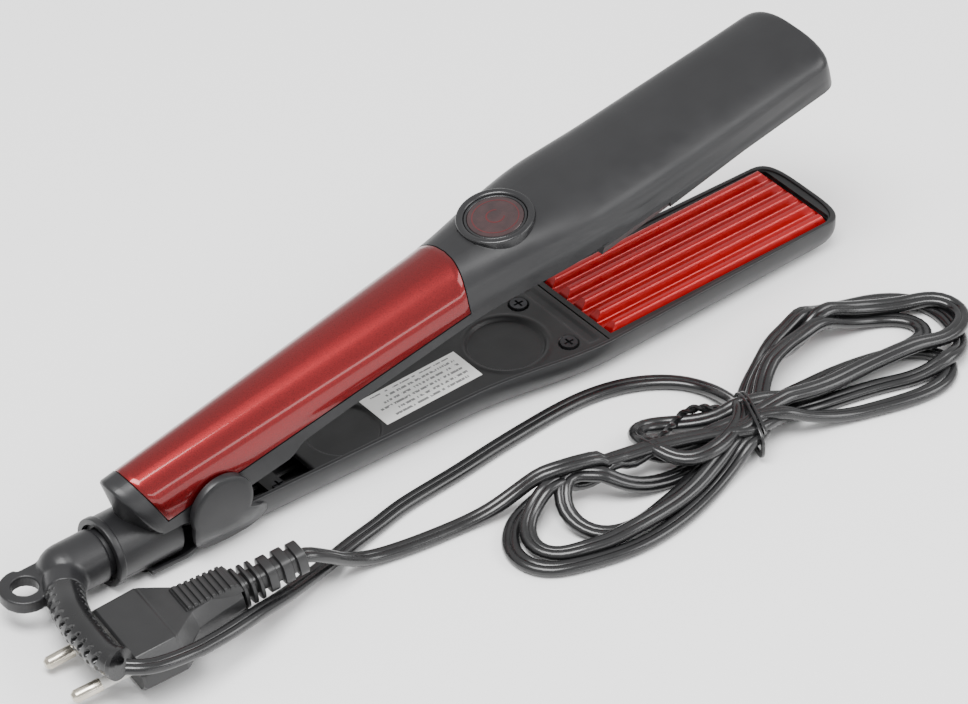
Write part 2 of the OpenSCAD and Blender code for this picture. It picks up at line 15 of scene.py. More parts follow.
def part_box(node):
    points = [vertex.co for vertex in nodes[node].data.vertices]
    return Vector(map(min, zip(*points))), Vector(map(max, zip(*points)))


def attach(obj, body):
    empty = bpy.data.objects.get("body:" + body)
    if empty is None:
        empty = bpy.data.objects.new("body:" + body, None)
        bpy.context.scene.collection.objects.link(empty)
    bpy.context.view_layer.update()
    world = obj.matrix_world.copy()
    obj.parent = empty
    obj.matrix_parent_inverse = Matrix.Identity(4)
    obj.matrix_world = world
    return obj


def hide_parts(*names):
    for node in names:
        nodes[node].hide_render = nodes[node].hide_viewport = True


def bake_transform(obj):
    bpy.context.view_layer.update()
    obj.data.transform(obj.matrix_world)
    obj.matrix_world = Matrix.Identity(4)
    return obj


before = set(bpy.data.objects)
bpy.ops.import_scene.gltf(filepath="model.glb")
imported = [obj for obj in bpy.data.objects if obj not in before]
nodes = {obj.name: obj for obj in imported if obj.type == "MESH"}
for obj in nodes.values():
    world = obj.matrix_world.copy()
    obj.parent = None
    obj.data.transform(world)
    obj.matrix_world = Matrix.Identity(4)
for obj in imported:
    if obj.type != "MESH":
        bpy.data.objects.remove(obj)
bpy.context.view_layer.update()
MM = 0.001

# ---------------------------------------------------------------- driving sizes
ARM_LENGTH = 239.0
OPENING = radians(12.4)
HEAD_WIDTH, NOSE_WIDTH, GRIP_WIDTH, HINGE_WIDTH = 40.8, 36.8, 28.2, 22.2
RIM_Z, WALL, SKIN = 12.0, 1.5, 1.2
PLATE_LENGTH, PITCH, RIDGE, PLATE_GAP, PLATE_BASE = 90.0, 7.14, 3.0, 0.5, 1.8
EAR_R, EAR_WALL = 10.8, 1.9
BEZEL_R, CAP_R = 12.0, 9.6
SOCKET_R, NECK_R, SOCKET_Z, SEAM_Z = 10.4, 8.3, 10.4, 6.4
SOCKET_REAR, SOCKET_FRONT = -35.3, -12.0
LOOP_X, LOOP_HOLE_R = -61.4, 4.1
CORD_W, CORD_H, BUNDLE_TOP = 5.4, 3.3, 9.6

PLATE_END = ARM_LENGTH - 4.4
PLATE_START = PLATE_END - PLATE_LENGTH
FLARE_LENGTH = 55.0
FLARE_START = PLATE_START - FLARE_LENGTH
COVER_START, COVER_END = 36.5, PLATE_START - 2.5
COVER_LENGTH = COVER_END - COVER_START
SCREW_X, SCREW_Y = COVER_START + 0.9 * COVER_LENGTH, 12.1
BUTTON_X = COVER_START + 0.784 * COVER_LENGTH
RED_FRONT = COVER_START + 0.6 * COVER_LENGTH
MATE_Z = RIM_Z + 1
HINGE_V = 4.6
HINGE_Z = MATE_Z + HINGE_V
VALLEY_Z = MATE_Z - RIDGE
EAR_IN = HINGE_WIDTH / 2 + 0.7
EAR_OUT = EAR_IN + EAR_WALL
UPPER_REAR = -27.0
RED_EDGE, RED_ARC_R = 10.6, 25
CROWN_LINE = [(-30, 26.5), (45, 25.2), (FLARE_START, 24.4), (FLARE_START + 30, 23.2),
              (PLATE_START, 20.8), (PLATE_START + 22, 18.9), (ARM_LENGTH, 14.6)]
BASE_LINE = [(-30, 10), (FLARE_START, 10), (PLATE_START, 9), (PLATE_START + 20, 7.5),
             (ARM_LENGTH, 7.5)]
RIM_LINE = [(-30, 8.7), (-20, 7.1), (-12, 5.9), (-5, 3.5), (0, 3), (27, 3), (31, 6), (48, 6.6),
            (COVER_END, 7.5), (PLATE_START + 20, 5), (PLATE_START + 52, 3.2),
            (ARM_LENGTH, 1.5)]
# Height of the soft crease that parts the side band from the front deck
CREASE_LINE = [(RED_FRONT - 6, 11), (121, 14.7), (129, 15.6), (144, 13), (159, 8.4),
               (183, 5.8), (223, 5), (ARM_LENGTH, 5.6)]

# ---------------------------------------------------------------- camera and stage
scene = bpy.context.scene
camera = bpy.data.objects.new("camera", bpy.data.cameras.new("camera"))
scene.collection.objects.link(camera)
camera.location = Vector((-660.34, -947.75, 1003.24)) * MM
aim = Vector((107.385, -0.96, 13.0)) * MM
camera.rotation_euler = (aim - camera.location).to_track_quat("-Z", "Y").to_euler()
camera.data.lens, camera.data.sensor_width = 193.12, 36.0
camera.data.clip_start, camera.data.clip_end = 0.05, 20
scene.camera = camera


# ---------------------------------------------------------------- materials
FINISH = {}


def node_tree(name):
    """A new node material, kept in FINISH, as (shader, object coordinates)."""
    material = FINISH[name] = bpy.data.materials.new(name)
    material.use_nodes = True
    tree = material.node_tree
    shader = tree.nodes["Principled BSDF"]
    coords = tree.nodes.new("ShaderNodeTexCoord")
    return shader, coords.outputs["Object"]


def setting(node, **values):
    """Sets or links a node's inputs by name, with _ for a space."""
    for name, value in values.items():
        socket = node.inputs[name.replace("_", " ")]
        if isinstance(value, bpy.types.NodeSocket):
            node.id_data.links.new(value, socket)
        else:
            socket.default_value = value


def noise(coords, scale, detail=2.0, rough=0.5, stretch=None):
    """Noise with `scale` cells a metre, drawn out along the axes by `stretch`."""
    nodes_of = coords.id_data.nodes
    if stretch:
        mapping = nodes_of.new("ShaderNodeMapping")
        setting(mapping, Scale=stretch, Vector=coords)
        coords = mapping.outputs["Vector"]
    tex = nodes_of.new("ShaderNodeTexNoise")
    setting(tex, Scale=scale, Detail=detail, Roughness=rough, Vector=coords)
    return tex.outputs["Fac"]


def spread(value, low, high, start=0.3, end=0.7):
    """Maps a 0.3 to 0.7 noise value onto low to high."""
    m = value.id_data.nodes.new("ShaderNodeMapRange")
    setting(m, From_Min=start, From_Max=end, To_Min=low, To_Max=high, Value=value)
    return m.outputs["Result"]


def blend_colour(fac, a, b):
    """Colour between a and b by a 0 to 1 value."""
    tree = fac.id_data
    mix = tree.nodes.new("ShaderNodeMix")
    mix.data_type = "RGBA"
    mix.inputs[6].default_value, mix.inputs[7].default_value = (*a, 1), (*b, 1)
    tree.links.new(fac, mix.inputs[0])
    return mix.outputs[2]


def bump(shader, *layers):
    """Stacks bump layers, each (height, strength, distance in mm)."""
    normal = None
    for height, strength, distance in layers:
        b = shader.id_data.nodes.new("ShaderNodeBump")
        setting(b, Strength=strength, Distance=distance * MM, Height=height)
        if normal:
            setting(b, Normal=normal)
        normal = b.outputs["Normal"]
    setting(shader, Normal=normal)


def plastic(name, dark, light, rough, grain=2600, relief=0.25, swirl=45, specular=0.5):
    """Moulded plastic: spark-eroded grain, faint flow variation, uneven gloss."""
    shader, coords = node_tree(name)
    flow = noise(coords, swirl, 3)
    fine = noise(coords, grain, 1.5, 0.6)
    setting(shader, Base_Color=blend_colour(spread(flow, 0, 1), dark, light),
            Roughness=spread(noise(coords, swirl * 3.1, 4), *rough),
            Specular_IOR_Level=specular)
    bump(shader, (flow, 0.08, 0.1), (fine, relief, 0.05))


def metal(name, dark, light, rough, grain=900, stretch=(0.06, 1, 1), metallic=1.0):
    """Drawn or plated metal with fine lines along X."""
    shader, coords = node_tree(name)
    lines = noise(coords, grain, 3, 0.6, stretch)
    setting(shader, Base_Color=blend_colour(spread(noise(coords, 120, 3), 0, 1), dark, light),
            Roughness=spread(lines, *rough), Metallic=metallic)
    bump(shader, (lines, 0.12, 0.03))


def red_lacquer():
    """Clear-coated red metallic paint with fine flake."""
    shader, coords = node_tree("red_lacquer")
    tree = shader.id_data
    flake = noise(coords, 5200, 0)
    cloud = noise(coords, 28, 2, 0.5, (0.5, 1, 1))
    base = blend_colour(spread(cloud, 0, 1), (0.17, 0.0004, 0.002), (0.21, 0.001, 0.003))
    tint = tree.nodes.new("ShaderNodeMix")
    tint.data_type = "RGBA"
    tint.blend_type = "MULTIPLY"
    tint.inputs[0].default_value = 1.0
    tree.links.new(base, tint.inputs[6])
    shade = blend_colour(spread(flake, 0, 1), (0.72, 0.72, 0.72), (1, 1, 1))
    tree.links.new(shade, tint.inputs[7])
    setting(shader, Base_Color=tint.outputs[2], Roughness=spread(flake, 0.27, 0.37),
            Metallic=0.75, Coat_Weight=0.7, Coat_Roughness=0.07)
    bump(shader, (noise(coords, 160, 2), 0.05, 0.08), (flake, 0.05, 0.02))


def plate_coating():
    """Smooth red enamel over cast ridges."""
    shader, coords = node_tree("plate_coating")
    cast = noise(coords, 420, 2, 0.5, (0.12, 1, 1))
    enamel = blend_colour(spread(cast, 0, 1), (0.34, 0.0, 0.001), (0.41, 0.0005, 0.002))
    setting(shader, Base_Color=enamel, Roughness=spread(noise(coords, 260, 3), 0.26, 0.4),
            Metallic=0.35, Coat_Weight=0.25, Coat_Roughness=0.15)
    bump(shader, (cast, 0.05, 0.03), (noise(coords, 2400, 1), 0.06, 0.02))


def label_paper():
    """Printed label: rows of plain grey dashes on off-white film, no lettering."""
    shader, coords = node_tree("label_paper")
    tree = shader.id_data
    split = tree.nodes.new("ShaderNodeSeparateXYZ")
    tree.links.new(coords, split.inputs["Vector"])

    def maths(operation, a, b):
        m = tree.nodes.new("ShaderNodeMath")
        m.operation = operation
        for socket, value in zip(m.inputs, (a, b)):
            if isinstance(value, (int, float)):
                socket.default_value = value
            else:
                tree.links.new(value, socket)
        return m.outputs[0]

    row_pitch, half_text, margin = 2.15 * MM, 5.9 * MM, 2.5 * MM
    across = maths("DIVIDE", maths("ADD", split.outputs["Y"], 0.1), row_pitch)
    in_row = maths("LESS_THAN", maths("FRACT", across, 0), 0.42)
    inside = maths("LESS_THAN", maths("ABSOLUTE", split.outputs["Y"], 0), half_text)
    row = maths("FLOOR", across, 0)
    low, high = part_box("rating_label")
    start = maths("ADD", maths("MULTIPLY", maths("FRACT", maths("MULTIPLY", row, 0.37), 0),
                               7 * MM), low.x + margin)
    after = maths("GREATER_THAN", split.outputs["X"], start)
    before = maths("LESS_THAN", split.outputs["X"], high.x - margin)
    dashes = maths("GREATER_THAN", noise(coords, 1150, 1, 0.5, (1, 0.25, 0)), 0.47)
    ink = maths("MULTIPLY", maths("MULTIPLY", in_row, inside),
                maths("MULTIPLY", maths("MULTIPLY", after, before), dashes))
    setting(shader, Base_Color=blend_colour(ink, (0.86, 0.86, 0.84), (0.2, 0.2, 0.2)),
            Roughness=spread(noise(coords, 300, 2), 0.3, 0.45))
    bump(shader, (noise(coords, 900, 2), 0.1, 0.02))


def smoky_lens():
    """Dark, slightly hazy plastic of the button's lens."""
    shader, coords = node_tree("smoky_lens")
    haze = noise(coords, 240, 3)
    smoke = blend_colour(spread(haze, 0, 1), (0.020, 0.010, 0.011), (0.036, 0.016, 0.017))
    setting(shader, Base_Color=smoke, Roughness=spread(noise(coords, 500, 2), 0.24, 0.34),
            Coat_Weight=0.2)
    bump(shader, (haze, 0.04, 0.05))


plastic("black_plastic", (0.011, 0.011, 0.012), (0.015, 0.015, 0.016),
        (0.33, 0.42), specular=0.42)
plastic("inner_plastic", (0.012, 0.012, 0.0125), (0.017, 0.017, 0.0175),
        (0.36, 0.48), grain=1900, relief=0.32, specular=0.42)
plastic("frame_plastic", (0.010, 0.0105, 0.011), (0.015, 0.0155, 0.016),
        (0.42, 0.55), specular=0.42)
plastic("gloss_black", (0.010, 0.010, 0.011), (0.014, 0.014, 0.015), (0.2, 0.3), relief=0.1)
smoky_lens()
red_lacquer()
plate_coating()
label_paper()
FINISH["red_metal"], FINISH["red_coating"] = FINISH["red_lacquer"], FINISH["plate_coating"]
metal("dark_screw", (0.03, 0.03, 0.032), (0.06, 0.06, 0.065), (0.3, 0.5), metallic=0.8)
metal("spring_steel", (0.45, 0.46, 0.48), (0.62, 0.63, 0.65), (0.2, 0.4))
plastic("heater_ceramic", (0.72, 0.7, 0.64), (0.8, 0.78, 0.73),
        (0.5, 0.7), grain=1200, relief=0.4)
metal("fuse_brass", (0.5, 0.36, 0.14), (0.62, 0.47, 0.22), (0.25, 0.4))
plastic("pale_plastic", (0.6, 0.59, 0.56), (0.68, 0.67, 0.64), (0.35, 0.5))
plastic("lead_insulation", (0.009, 0.009, 0.009), (0.013, 0.013, 0.013), (0.4, 0.5))
plastic("plug_plastic", (0.011, 0.011, 0.0115), (0.016, 0.016, 0.0165),
        (0.36, 0.5), grain=1700, relief=0.4)
metal("pin_metal", (0.5, 0.46, 0.38), (0.66, 0.62, 0.54), (0.16, 0.32), grain=1500)
plastic("cord_plastic", (0.006, 0.006, 0.0065), (0.009, 0.009, 0.0095),
        (0.2, 0.3), grain=1400, relief=0.12, specular=0.6)
plastic("board_green", (0.02, 0.12, 0.05), (0.03, 0.17, 0.07), (0.3, 0.45))
plastic("led_red", (0.5, 0.03, 0.02), (0.6, 0.05, 0.03), (0.15, 0.25))

for node in nodes.values():
    for slot in node.material_slots:
        slot.material = FINISH[slot.material.name.split(".")[0]]


# ---------------------------------------------------------------- mesh helpers
def piece(name, solid, finish, sharp=40, body="root", replaces=(), place=None):
    """A welded, outward-facing mesh object from a solid, (points in millimetres, faces)."""
    points, faces = solid
    if place:
        points = [place(p) for p in points]
    mesh = bpy.data.meshes.new(name)
    mesh.from_pydata([tuple(float(c) * MM for c in p) for p in points], [], faces)
    bm = bmesh.new()
    bm.from_mesh(mesh)
    bmesh.ops.remove_doubles(bm, verts=bm.verts, dist=0.004 * MM)
    bmesh.ops.dissolve_degenerate(bm, edges=bm.edges, dist=0.002 * MM)
    bmesh.ops.recalc_face_normals(bm, faces=bm.faces)
    bm.to_mesh(mesh)
    bm.free()
    mesh.materials.append(FINISH[finish])
    for polygon in mesh.polygons:
        polygon.use_smooth = True
    mesh.set_sharp_from_angle(angle=radians(sharp))
    obj = bpy.data.objects.new(name, mesh)
    scene.collection.objects.link(obj)
    if body:
        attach(obj, body)
    if replaces:
        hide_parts(*replaces)
    return obj


def round_edges(obj, width, segments=3, angle=35):
    m = obj.modifiers.new("round_edges", "BEVEL")
    m.width, m.segments = width * MM, segments
    m.limit_method, m.angle_limit = "ANGLE", radians(angle)
    return obj


def strip(first, second, closed=True):
    """Quads between two equally long index rings."""
    n = len(first)
    return [(first[i], first[(i + 1) % n], second[(i + 1) % n], second[i])
            for i in range(n if closed else n - 1)]


def grid_border(m, n):
    """Indices round the edge of a grid of m rows of n points."""
    return ([(0, k) for k in range(n)] + [(c, n - 1) for c in range(1, m)]
            + [(m - 1, k) for k in range(n - 2, -1, -1)] + [(c, 0) for c in range(m - 2, 0, -1)])


def grid_faces(index, m, n):
    """Quads of an m by n grid whose corner (row, k) is index(row, k)."""
    return [(index(c, k), index(c, k + 1), index(c + 1, k + 1), index(c + 1, k))
            for c in range(m - 1) for k in range(n - 1)]


def lofted(rings, capped=True):
    """(points, faces) of a closed solid through equally long rings."""
    n = len(rings[0])
    points = [p for r in rings for p in r]
    index = [list(range(k * n, (k + 1) * n)) for k in range(len(rings))]
    faces = [f for a, b in zip(index, index[1:]) for f in strip(a, b)]
    if capped:
        faces += [tuple(reversed(index[0])), tuple(index[-1])]
    return points, faces


def filleted(corners, radius, steps=4):
    """Rounds the inner corners of an open (a, r) profile."""
    out = [corners[0]]
    for before, here, after in zip(corners, corners[1:], corners[2:]):
        b, h, a = (np.array(c, float) for c in (before, here, after))
        reach = min(radius, np.linalg.norm(b - h) * 0.49, np.linalg.norm(a - h) * 0.49)
        p = h + (b - h) / np.linalg.norm(b - h) * reach
        q = h + (a - h) / np.linalg.norm(a - h) * reach
        out += [tuple((1 - t) ** 2 * p + 2 * t * (1 - t) * h + t * t * q)
                for t in np.linspace(0, 1, steps)]
    return out + [corners[-1]]


def smooth(t):
    t = np.clip(t, 0, 1)
    return t * t * (3 - 2 * t)


def curve_through(line, x, soft=6.0):
    """Linear interpolation of `line` at x, averaged over `soft` mm each way."""
    xs, vs = zip(*line)
    return sum(np.interp(x + soft * k, xs, vs) for k in (-1, -0.5, 0, 0.5, 1)) / 5


def half_width(x):
    grip = (HINGE_WIDTH + (GRIP_WIDTH - HINGE_WIDTH) * x / FLARE_START) / 2
    head = (HEAD_WIDTH - (HEAD_WIDTH - NOSE_WIDTH) * (x - PLATE_START)
            / (ARM_LENGTH - PLATE_START)) / 2
    f = smooth((x - FLARE_START) / FLARE_LENGTH) ** 1.4
    return grip * (1 - f) + head * f


def upper(p):
    """A point of the closed upper arm (x, y, height over the mating plane), as it rests open."""
    x, y, v = p
    v = v - HINGE_V
    return (x * cos(OPENING) - v * sin(OPENING), y,
            HINGE_Z + x * sin(OPENING) + v * cos(OPENING))


# ---------------------------------------------------------------- cord
# Points in millimetres: out of the relief, over the plug, to the tie,
# through four loops of the hank and back to the plug.
LEAD = [(-61.9, -50.5, 17.2), (-61.1, -52, 17.2), (-59.3, -53.4, 17), (-56.8, -54.3, 16.7),
        (-53.5, -54.8, 16.2), (-50, -55, 15.7), (-46.5, -55, 15.1), (-43, -54.8, 14.5),
        (-39, -54.2, 13.6), (-30, -52.6, 12.2), (-22, -51.5, 11.6), (-15, -49.7, 10.6),
        (-8.5, -47.9, 9), (-2, -45.9, 7), (4, -43.8, 4.8), (11, -41.4, 3.2), (19, -38.9, 2.2),
        (28, -36, 2), (39, -33.6, 2), (51, -31, 2), (63, -30, 2), (75, -29.2, 2),
        (89, -27.7, 2), (102, -26.7, 2), (116, -26, 2), (128, -26.6, 2), (139, -29.4, 2),
        (148, -34.2, 2), (155, -41, 2.4), (158, -49, 3.4), (157, -57, 4.6), (154.6, -64.5, 5.2)]
SMALL_FOLD = [(150, -70.5, 5.4), (142, -74.5, 5.4), (133.5, -76.5, 5.4), (125.5, -74, 5),
              (121, -66, 4), (121, -57, 3), (125.5, -50.5, 2.5), (131, -50, 3), (138, -54, 4),
              (145, -60.5, 5)]
RIGHT_INNER = [(176, -69.5, 5), (190.5, -69, 5), (205, -71, 5), (217, -73, 4), (225, -70.5, 3),
               (229, -64, 2), (224.5, -57, 2), (215.5, -52.5, 2), (200.5, -51, 2),
               (184, -53, 2), (170.5, -58, 2)]
LEFT_MIDDLE = [(144.5, -74.5, 2), (128, -80, 3), (107.5, -83.5, 3), (89, -83, 4),
               (74.5, -78, 4), (70, -71.5, 4), (72, -64, 4), (80.5, -59, 3), (92, -58.5, 2),
               (105.5, -61, 2), (121.5, -64, 2), (135, -69, 4)]
RIGHT_OUTER = [(166, -71.5, 6), (179, -72, 6), (198, -73, 6), (215.5, -75.5, 6.5),
               (229.5, -77, 7), (239.5, -72.5, 7), (241.5, -64.5, 7), (237, -59.5, 6.5),
               (228, -55, 5), (216, -50, 3), (200.5, -48, 2), (182, -51.5, 2),
               (168.5, -56.5, 2)]
LEFT_INNER = [(146.5, -72, 2), (132, -75.5, 2), (115, -79, 2), (99.5, -81.5, 2),
              (89, -77.5, 2), (85, -69.5, 2), (87, -62, 2), (94, -58, 2), (100, -63, 2),
              (107.5, -69, 2), (120, -71.5, 2), (138.5, -71, 2)]
RIGHT_WIDE = [(165.5, -55, 2), (182.5, -47.5, 2), (202.5, -43, 2), (218, -43.5, 2),
              (230.5, -49.5, 2), (237, -58.5, 2), (237, -68.5, 2.5), (232.5, -79, 4.5),
              (224.5, -84, 5.4), (213.5, -83.5, 5), (199.5, -78.5, 3.5), (183, -74.5, 3.5),
              (169.5, -72.5, 4.5)]
LEFT_OUTER = [(139, -70, 4), (126, -65, 2), (109, -61, 2), (92, -57.5, 2), (76.5, -56.5, 2),
              (68, -61.5, 2), (63.5, -69.5, 2), (66.5, -79.5, 2), (79, -85, 2),
              (95.5, -88.5, 2), (114.5, -87, 2), (135, -81, 2), (148.5, -77.5, 2)]
RIGHT_LOW = [(167, -65, 2), (180.5, -64.5, 2), (195.5, -65.5, 2), (211, -69, 2),
             (221, -74.5, 2), (224, -81, 2), (221, -87, 2), (213, -90, 2), (201, -88.5, 2),
             (187.5, -84.5, 3), (174, -80.5, 5.5), (163.5, -77.5, 7.5)]
TO_PLUG = [(150, -75, 9), (140.5, -71.5, 8), (131, -67.5, 6.5), (121.5, -64, 5.5),
           (111, -61.5, 5.4), (100.5, -59, 5.4), (90.5, -56.5, 5), (81, -52.5, 3.5),
           (70.5, -50.5, 2.5), (60, -48.5, 2), (52, -47.8, 2), (39, -46, 2), (29, -43.8, 3),
           (21, -44.2, 7), (14, -44.6, 12.3), (7, -44, 16.4), (2, -43, 15.9)]
TIE_AT, TIE_DIRECTION = np.array([153.3, -71.3]), np.array([0.386, 0.923])


def in_tie(offset, z):
    """A pass through the tie: `offset` across the bundle, at height z."""
    return [(*(TIE_AT + TIE_DIRECTION * offset), z)]


ROUTE = (LEAD + SMALL_FOLD + in_tie(5.8, 5.2) + RIGHT_INNER + in_tie(-2.9, 2) + LEFT_MIDDLE
         + in_tie(0, 5.2) + RIGHT_OUTER + in_tie(2.9, 2) + LEFT_INNER + in_tie(8.6, 2)
         + RIGHT_WIDE + in_tie(-5.8, 5.2) + LEFT_OUTER + in_tie(-8.6, 2) + RIGHT_LOW
         + in_tie(0, 8.6) + TO_PLUG)


def spline(points, step):
    """Catmull-Rom curve through the points, resampled every `step` millimetres."""
    p = np.array(points, float)
    p = np.vstack([2 * p[0] - p[1], p, 2 * p[-1] - p[-2]])
    fine = []
    for a, b, c, d in zip(p, p[1:], p[2:], p[3:]):
        t = np.linspace(0, 1, 12, endpoint=False)[:, None]
        fine.append(0.5 * (2 * b + (c - a) * t + (2 * a - 5 * b + 4 * c - d) * t ** 2
                           + (3 * b - a - 3 * c + d) * t ** 3))
    fine = np.vstack(fine + [p[-2]])
    s = np.r_[0, np.cumsum(np.linalg.norm(np.diff(fine, axis=0), axis=1))]
    even = np.linspace(0, s[-1], int(round(s[-1] / step)) + 1)
    return np.stack([np.interp(even, s, fine[:, k]) for k in range(3)], axis=1)


def settled(path, step, passes=160):
    """Lifts crossing strands off each other and lets the rest lie down."""
    path = path.copy()
    held = int(110 / step)
    for _ in range(4):
        path[1:-1, :2] = path[:-2, :2] / 4 + path[1:-1, :2] / 2 + path[2:, :2] / 4
    gap = np.linalg.norm(path[:, None, :2] - path[None, :, :2], axis=2)
    apart = np.abs(np.arange(len(path))[:, None] - np.arange(len(path))[None]) * step > 15
    i, j = np.nonzero(apart & (gap < CORD_W * 0.98))
    i, j = i[i < j], j[i < j]
    upper_first = path[i, 2] >= path[j, 2]
    contact = (CORD_H + 0.1) * np.sqrt(np.clip(1 - (gap[i, j] / CORD_W) ** 2, 0, 1))
    floor = CORD_H / 2 + 0.05
    for _ in range(passes):
        lift = np.zeros(len(path))
        need = contact - (path[i, 2] - path[j, 2]) * np.where(upper_first, 1, -1)
        need = np.clip(need, 0, None) * 0.35
        np.maximum.at(lift, np.where(upper_first, i, j), need)
        drop = np.zeros(len(path))
        np.maximum.at(drop, np.where(upper_first, j, i), need)
        path[:, 2] += lift - drop * 0.6
        z = path[:, 2].copy()
        z[held:-int(60 / step)] -= 0.03
        z[1:-1] = z[:-2] * 0.22 + z[1:-1] * 0.56 + z[2:] * 0.22
        keep = np.r_[np.arange(held // 2), np.arange(len(z) - int(40 / step), len(z))]
        z[keep] = path[keep, 2]
        z[held:-held] = np.minimum(z[held:-held], BUNDLE_TOP)
        path[:, 2] = np.maximum(z, floor)
    return path


def frames_along(path, ups=(0, 0, 1)):
    """(point, across, up) at every point of a path."""
    for p, t in zip(path, np.gradient(path, axis=0)):
        t = t / np.linalg.norm(t)
        w = np.cross(ups, t)
        w /= np.linalg.norm(w)
        yield p, w, np.cross(t, w)


def swept(path, outline, roll=None, scale=None, ups=(0, 0, 1)):
    """Rings of `outline` (across, up) along a path; roll in radians and scale per ring."""
    rings = []
    for k, (p, w, h) in enumerate(frames_along(path, ups)):
        turn = 0 if roll is None else roll[k]
        c, s = cos(turn), sin(turn)
        w, h = w * c + h * s, h * c - w * s
        grow = 1 if scale is None else scale[k]
        rings.append([p + (w * a + h * b) * grow for a, b in outline])
    return rings


def twin_outline(points=9):
    """Section of a flat two-core cord: two round cores side by side with a groove."""
    r, c = CORD_H / 2, (CORD_W - CORD_H) / 2
    reach = acos(-c / r) - 0.16
    lobe = [(c + r * cos(t), r * sin(t)) for t in np.linspace(-reach, reach, points)]
    groove = r * sin(acos(-c / r)) - 0.02
    return ([(0, -groove)] + lobe + [(0, groove)]
            + [(-a, -b) for a, b in lobe])


STEP = 2.5
cord_path = settled(spline(ROUTE, STEP), STEP)
distance = np.arange(len(cord_path)) * STEP
hank_part = smooth((distance - 190) / 60) * smooth((distance[-1] - 90 - distance) / 60)
roll = hank_part * 0.35 * np.sin(distance / 31.0) * np.cos(distance / 83.0)
cord = piece("mains_cord", lofted(swept(cord_path, twin_outline(), roll)), "cord_plastic", 60,
             body=None)
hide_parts("cord_lead", "cord_plug_end", "cord_hank")
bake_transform(cord)

# ---------------------------------------------------------------- floor and light
shader, coords = node_tree("studio_floor")
setting(shader, Base_Color=(0.93, 0.93, 0.93, 1), Specular_IOR_Level=0.2)
setting(shader, Roughness=spread(noise(coords, 40, 2), 0.55, 0.65))
floor_mesh = bpy.data.meshes.new("studio_floor")
HALF_FLOOR = 6.0
floor_mesh.from_pydata([(x * HALF_FLOOR, y * HALF_FLOOR, -0.0002)
                        for x, y in ((-1, -1), (1, -1), (1, 1), (-1, 1))], [], [(0, 1, 2, 3)])
floor_mesh.materials.append(FINISH["studio_floor"])
floor = bpy.data.objects.new("studio_floor", floor_mesh)
scene.collection.objects.link(floor)

world = bpy.data.worlds.new("studio")
world.use_nodes = True
setting(world.node_tree.nodes["Background"], Color=(1, 1, 1, 1), Strength=0.9)
scene.world = world


def softbox(name, at, size, power, target=(0.09, -0.03, 0.03)):
    """A rectangular area light of `size` metres pointed at the target."""
    light = bpy.data.lights.new(name, "AREA")
    light.shape, light.size, light.size_y, light.energy = "RECTANGLE", *size, power
    obj = bpy.data.objects.new(name, light)
    scene.collection.objects.link(obj)
    obj.location = at
    obj.rotation_euler = (Vector(target) - Vector(at)).to_track_quat("-Z", "Y").to_euler()


softbox("key", (-0.35, -0.25, 1.5), (1.1, 0.7), 42)
softbox("fill", (0.9, -0.7, 0.9), (0.8, 0.6), 9)
softbox("strip", (0.36, -1.0, 0.27), (1.2, 0.10), 2.2)


# ---------------------------------------------------------------- upper arm
HALF_ROWS = 30
NOSE_DEPTH, NOSE_POWER, NOSE_LEAN = 10, 0.53, 1.9
NOSE_DEGREES = (84, 76, 68, 60, 52, 44, 36, 28, 20, 13, 7, 3)
CROWN_ROWS = [sin(pi / 2 * k / HALF_ROWS) for k in range(1, HALF_ROWS + 1)]
WALL_ROWS = 8
POCKET = SKIN + 0.25


def fullness(x):
    return 2.2 + 0.8 * smooth((x - FLARE_START) / FLARE_LENGTH)


def rear_end(v):
    return UPPER_REAR + 0.35 * (25 - v) + 0.03 * max(0.0, 13 - v) ** 2


def red_rear(v):
    return UPPER_REAR + 5.6 + 0.3 * (26 - v)


def section_point(x, level, sunk):
    """(y, v) on the near side at x. level is (kind, amount): the wall below the crown, or the
    crown itself; sunk draws the surface in."""
    base, top = float(curve_through(BASE_LINE, x)), float(curve_through(CROWN_LINE, x))
    kind, amount = level
    if kind == "wall":
        foot = float(curve_through(RIM_LINE, x, 1.5))
        v, share = foot + (base - foot) * amount, 0.0
    else:
        edge = (RED_EDGE - base) / (top - base)
        share = max(edge + amount, 0.0) if kind == "edge" else edge + (1 - edge) * amount
        v = base + (top - base - sunk) * share
    lean = cos(asin(min(1.0, share ** (fullness(x) / 2)))) ** (2 / fullness(x))
    return lean, v


def crease_depth(x, v):
    """How far the front deck is drawn in above the soft crease of the side band."""
    over = v - float(curve_through(CREASE_LINE, x, 9))
    ramp = float(smooth((x - RED_FRONT) / 34)) * float(smooth((ARM_LENGTH - x) / 22))
    return 0.7 * ramp * float(smooth((over + 1.0) / 2.4)) * exp(-max(0.0, over) / 6)


def button_dip(x, y):
    """Depth of the well in the crown under the button; its wall hides below the bezel."""
    depth, from_edge, wall = 4.2, 1.1, 1.2
    return depth * float(smooth((BEZEL_R - from_edge - hypot(x - BUTTON_X, y)) / wall))


LEVELS = ([("wall", k / WALL_ROWS) for k in range(WALL_ROWS)]
          + [("edge", -0.03), ("edge", -0.0085), ("edge", -0.0075)]
          + [("crown", c * 0.98 if c < 1 else 1.0) for c in [0.004] + CROWN_ROWS])
RED_ROW = WALL_ROWS + 2


def arm_columns():
    """Column list of the upper arm: (zone, fraction)."""
    rear = [("rear", f) for f in (0, 0.04, 0.16, 0.5, 0.96)]
    red = [("red", f) for f in np.r_[0, 0.004, np.linspace(0.02, 0.98, 46), 0.996, 1.0]]
    front = [("front", f) for f in np.r_[0.002, np.linspace(0.010, 1, 128)]]
    tip = [("tip", radians(b)) for b in (*NOSE_DEGREES, 0)]
    return rear + red + front + tip


